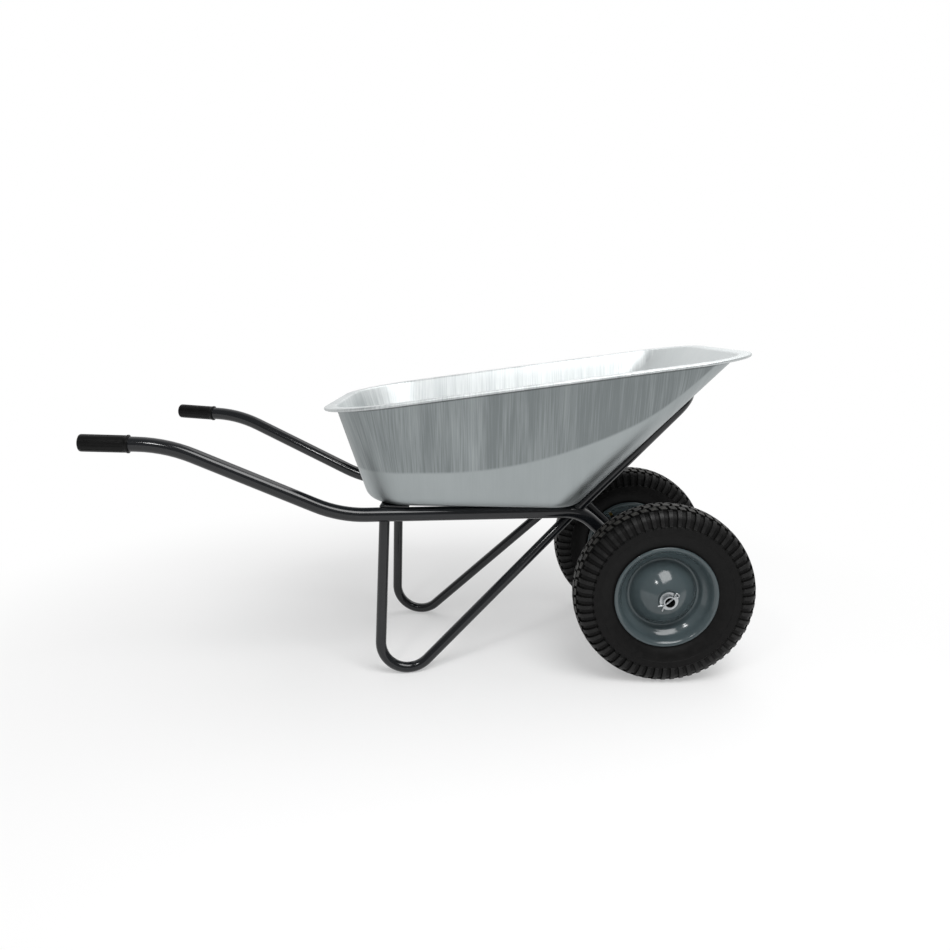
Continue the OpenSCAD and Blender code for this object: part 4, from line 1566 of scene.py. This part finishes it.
@dataclass
class Grip:
    """A fluted grip with a flange and a domed end."""

    layout: Layout
    radius: float = 18.2 * MM
    length: float = 101 * MM
    flange_w: float = 4 * MM
    flange_h: float = 1.2 * MM
    flange_r: float = 0.6 * MM
    edge_r: float = 2 * MM
    dome_steps: int = 8
    flutes: int = 12
    flute_faces: int = 8
    flute_w: int = 2
    flute_deep: float = 0.7 * MM
    flute_edge: float = 0.45 * MM
    flute_from: float = 6 * MM
    flute_to: float = 8 * MM
    edge_angle: float = 35.0

    @property
    def foot(self) -> float:
        """Where the flange ends and the body begins, along the grip."""
        return self.layout.grip_end_r - self.length + self.flange_w

    @property
    def edge(self) -> float:
        """Angle of the dome from its middle to its edge."""
        return math.asin((self.radius - self.edge_r) / self.layout.grip_end_r)

    @property
    def crown(self) -> float:
        """Where the dome begins, along the grip."""
        return self.layout.grip_end_r * math.cos(self.edge)

    def line(self) -> list[Vector]:
        """Half of the grip's section, from the dome's middle to the flange's bore.

        Returns:
            Points with the radius in X and the place along the grip in Y.
        """
        r, foot, crown = self.radius, self.foot, self.crown
        front, rim, soft = foot - self.flange_w, r + self.flange_h, self.flange_r
        turns = [self.edge * i / self.dome_steps for i in range(self.dome_steps + 1)]
        dome = [(self.layout.grip_end_r * math.sin(a), self.layout.grip_end_r * math.cos(a)) for a in turns]
        shoulder = [(r - 0.7 * MM, crown - 1.2 * MM), (r - 0.1 * MM, crown - 3 * MM), (r, crown - 5 * MM)]
        body = [(r, crown - self.flute_to), (r, foot + self.flute_from), (r, foot + MM)]
        flange = [(r + soft, foot), (rim - 0.5 * MM, foot), (rim, foot - soft)]
        flange += [(rim, front + soft), (rim - soft, front), (self.layout.rail_d / 2, front)]
        return [Vector((x, y, 0)) for x, y in dome + shoulder + body + flange]

    def in_flute(self, face: bmesh.types.BMFace) -> bool:
        """Says whether a face lies in a flute.

        Args:
            face: a face of the grip along Y.

        Returns:
            True in a flute.
        """
        p = face.calc_center_median()
        step = 2 * math.pi / (self.flutes * self.flute_faces)
        column = math.floor(math.atan2(p.z, p.x) / step) % self.flute_faces
        return self.foot + self.flute_from < p.y < self.crown - self.flute_to and column < self.flute_w

    def build(self, side: Side, finishes: Finishes) -> None:
        """Builds and dresses a grip.

        Args:
            side: the grip's side.
            finishes: the barrow's finishes.
        """
        grip = draw_line(f"{side.word}_grip_fluted", self.line())
        spin_round(grip, Vector(), self.flutes * self.flute_faces)
        with editing(grip):
            select(grip, Pick.FACE, self.in_flute)
            bpy.ops.mesh.inset(thickness=self.flute_edge, depth=-self.flute_deep)
        bend, end = self.layout.handle_line
        plane = self.layout.rail_plane(side)
        away = (plane.to_3x3() @ (end - bend)).normalized()
        turn = Vector((0, 1, 0)).rotation_difference(away).to_matrix().to_4x4()
        grip.data.transform(Matrix.Translation(plane @ end) @ turn)
        smooth(grip, self.edge_angle)
        coat(grip, finishes.grip)
        place(grip, "frame", f"{side.word}_grip")


def dress_nodes(finishes: Finishes) -> None:
    """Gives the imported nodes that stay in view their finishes.

    Args:
        finishes: the barrow's finishes.
    """
    by_word = {
        "collars": finishes.frame_paint,
        "hub": finishes.rim_paint,
        "bushes": finishes.nylon,
        "inner_tube": finishes.tyre,
        "valve_stem": finishes.brass,
        "valve_cap": finishes.grip,
    }
    for name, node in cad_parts.items():
        skin = next((m for word, m in by_word.items() if word in name), finishes.steel)
        if not node.hide_render:
            node.data.materials.clear()
            node.data.materials.append(skin)
            LOG.info("%s: packed shape in %s", name, skin.name)


@dataclass(frozen=True)
class Lamp:
    """A soft box that faces the barrow.

    Attributes:
        name: the lamp's name.
        at: where it hangs.
        size: its width and depth.
        watts: its power.
    """

    name: str
    at: tuple[float, float, float]
    size: tuple[float, float]
    watts: float

    def hang(self, target: Vector) -> None:
        """Hangs the lamp.

        Args:
            target: the point that it faces.
        """
        data = bpy.data.lights.new(self.name, "AREA")
        data.shape = "RECTANGLE"
        data.size, data.size_y = self.size
        data.energy = self.watts
        lamp = bpy.data.objects.new(self.name, data)
        lamp.location = self.at
        lamp.rotation_euler = (target - Vector(self.at)).to_track_quat("-Z", "Y").to_euler()
        bpy.context.scene.collection.objects.link(lamp)


@dataclass
class Studio:
    """A pale floor, soft lamps, a white world and the camera."""

    fill: float = 0.45
    dusk: float = 0.25
    dusk_from: float = 0.5
    dusk_to: float = -0.3
    floor_size: float = 30.0
    floor_colour: str = "#f4f4f4"
    floor_rough: float = 0.9
    glow: float = 0.35
    fade_from: float = 0.5
    fade_to: float = 1.6
    lamps: tuple[Lamp, ...] = (
        Lamp("window", (0.8, -1.5, 2.5), (1.7, 1.25), 45.0),
        Lamp("bulb", (-0.6, -1.9, 1.9), (0.25, 0.25), 6.0),
        Lamp("ceiling", (1.1, 0.5, 2.9), (3.0, 2.0), 28.0),
    )
    lamps_face: Vector = field(default_factory=lambda: Vector((0, 0, 0.4)))
    camera_at: Vector = field(default_factory=lambda: Vector((105.23, -1779.0, 800.0)) * MM)
    yaw: float = -0.00472
    pitch: float = 0.19684
    roll: float = -0.0072
    lens_px: float = 746.68
    image_px: float = 950.0
    middle_px: tuple[float, float] = (474.0, 467.0)
    sensor_w: float = 36.0

    def build(self) -> None:
        """Builds the floor, the lamps, the world and the camera."""
        self._floor()
        self._world()
        for lamp in self.lamps:
            lamp.hang(self.lamps_face)
        self._camera()
        bpy.context.scene.view_settings.view_transform = "Standard"

    def _seen(self, tree: Tree, path: Node, gloss: Node | float) -> Node:
        """How much of the white background a ray sees.

        Args:
            tree: the node tree.
            path: its Light Path node.
            gloss: how much of it a gloss shows.

        Returns:
            The node with the share, from nought to one.
        """
        add = partial(add_node, tree)
        glossy = add("Math", {0: path.outputs["Is Glossy Ray"], 1: gloss}, operation="MULTIPLY")
        rays = {0: path.outputs["Is Camera Ray"], 1: path.outputs["Is Transmission Ray"]}
        seen = add("Math", rays, operation="MAXIMUM")
        return add("Math", {0: seen, 1: glossy}, operation="MAXIMUM")

    def _floor(self) -> None:
        """Makes the floor: pale under the barrow, fading to the white of the background."""
        floor = start_from(bpy.ops.mesh.primitive_plane_add, "studio_floor", size=self.floor_size)
        material, tree, shader = Finish("pale studio floor").start()
        add = partial(add_node, tree)
        feed(tree, shader, {"Base Color": linear(self.floor_colour), "Roughness": self.floor_rough})
        feed(tree, shader, {"Specular IOR Level": 0.0})
        away = add("VectorMath", {0: add("TexCoord").outputs["Object"]}, operation="LENGTH")
        edges = {"From Min": self.fade_from, "From Max": self.fade_to, "To Min": self.glow}
        fade = add("MapRange", {"Value": away, **edges}, interpolation_type="SMOOTHSTEP")
        seen = self._seen(tree, add("LightPath"), 1.0)
        share = add("Math", {0: fade, 1: seen}, operation="MULTIPLY")
        glow = add("Emission", {"Color": (1, 1, 1, 1), "Strength": 1.0})
        mix = add("MixShader", {0: share, 1: shader, 2: glow})
        feed(tree, tree.nodes["Material Output"], {"Surface": mix})
        coat(floor, material)

    def _world(self) -> None:
        """Makes the world: a white background, a dim room on the camera's side, softer as a light."""
        world = bpy.data.worlds.new("white studio")
        world.use_nodes = True
        tree = world.node_tree
        add = partial(add_node, tree)
        way = add("SeparateXYZ", {0: add("TexCoord").outputs["Object"]})
        edges = {"From Min": self.dusk_to, "From Max": self.dusk_from}
        gloss = add("MapRange", {"Value": way.outputs["Y"], **edges}, interpolation_type="SMOOTHSTEP")
        path = add("LightPath")
        seen = self._seen(tree, path, gloss)
        levels = {"To Min": self.fill, "To Max": self.dusk}
        level = add("MapRange", {"Value": path.outputs["Is Glossy Ray"], **levels})
        strength = add("MapRange", {"Value": seen, "To Min": level, "To Max": 1.0})
        feed(tree, tree.nodes["Background"], {"Color": (1, 1, 1, 1), "Strength": strength})
        bpy.context.scene.world = world

    def _camera(self) -> None:
        """Puts the camera where the photograph was taken from."""
        flat = math.cos(self.pitch)
        ahead = Vector((math.sin(self.yaw) * flat, math.cos(self.yaw) * flat, -math.sin(self.pitch)))
        level = Vector((math.cos(self.yaw), -math.sin(self.yaw), 0))
        upright = level.cross(ahead)
        right = math.cos(self.roll) * level + math.sin(self.roll) * upright
        up = math.cos(self.roll) * upright - math.sin(self.roll) * level
        data = bpy.data.cameras.new("photograph")
        data.sensor_width = self.sensor_w
        data.lens = self.lens_px / self.image_px * self.sensor_w
        data.shift_x = (self.image_px / 2 - self.middle_px[0]) / self.image_px
        data.shift_y = (self.middle_px[1] - self.image_px / 2) / self.image_px
        camera = bpy.data.objects.new("photograph", data)
        turn = Matrix((right, up, -ahead)).transposed().to_4x4()
        camera.matrix_world = Matrix.Translation(self.camera_at) @ turn
        bpy.context.scene.collection.objects.link(camera)
        bpy.context.scene.camera = camera


def main() -> None:
    """Builds the barrow's looks and the studio."""
    logging.basicConfig(level=logging.INFO, format="%(name)s %(message)s")
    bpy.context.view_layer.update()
    finishes = Finishes()
    layout = Layout()
    Tray(layout).build(finishes)
    TubeFrame(layout).build(finishes)
    for side in Side:
        Grip(layout).build(side, finishes)
    Wheels(finishes).build()
    dress_nodes(finishes)
    Studio().build()


if __name__ == "__main__":
    main()
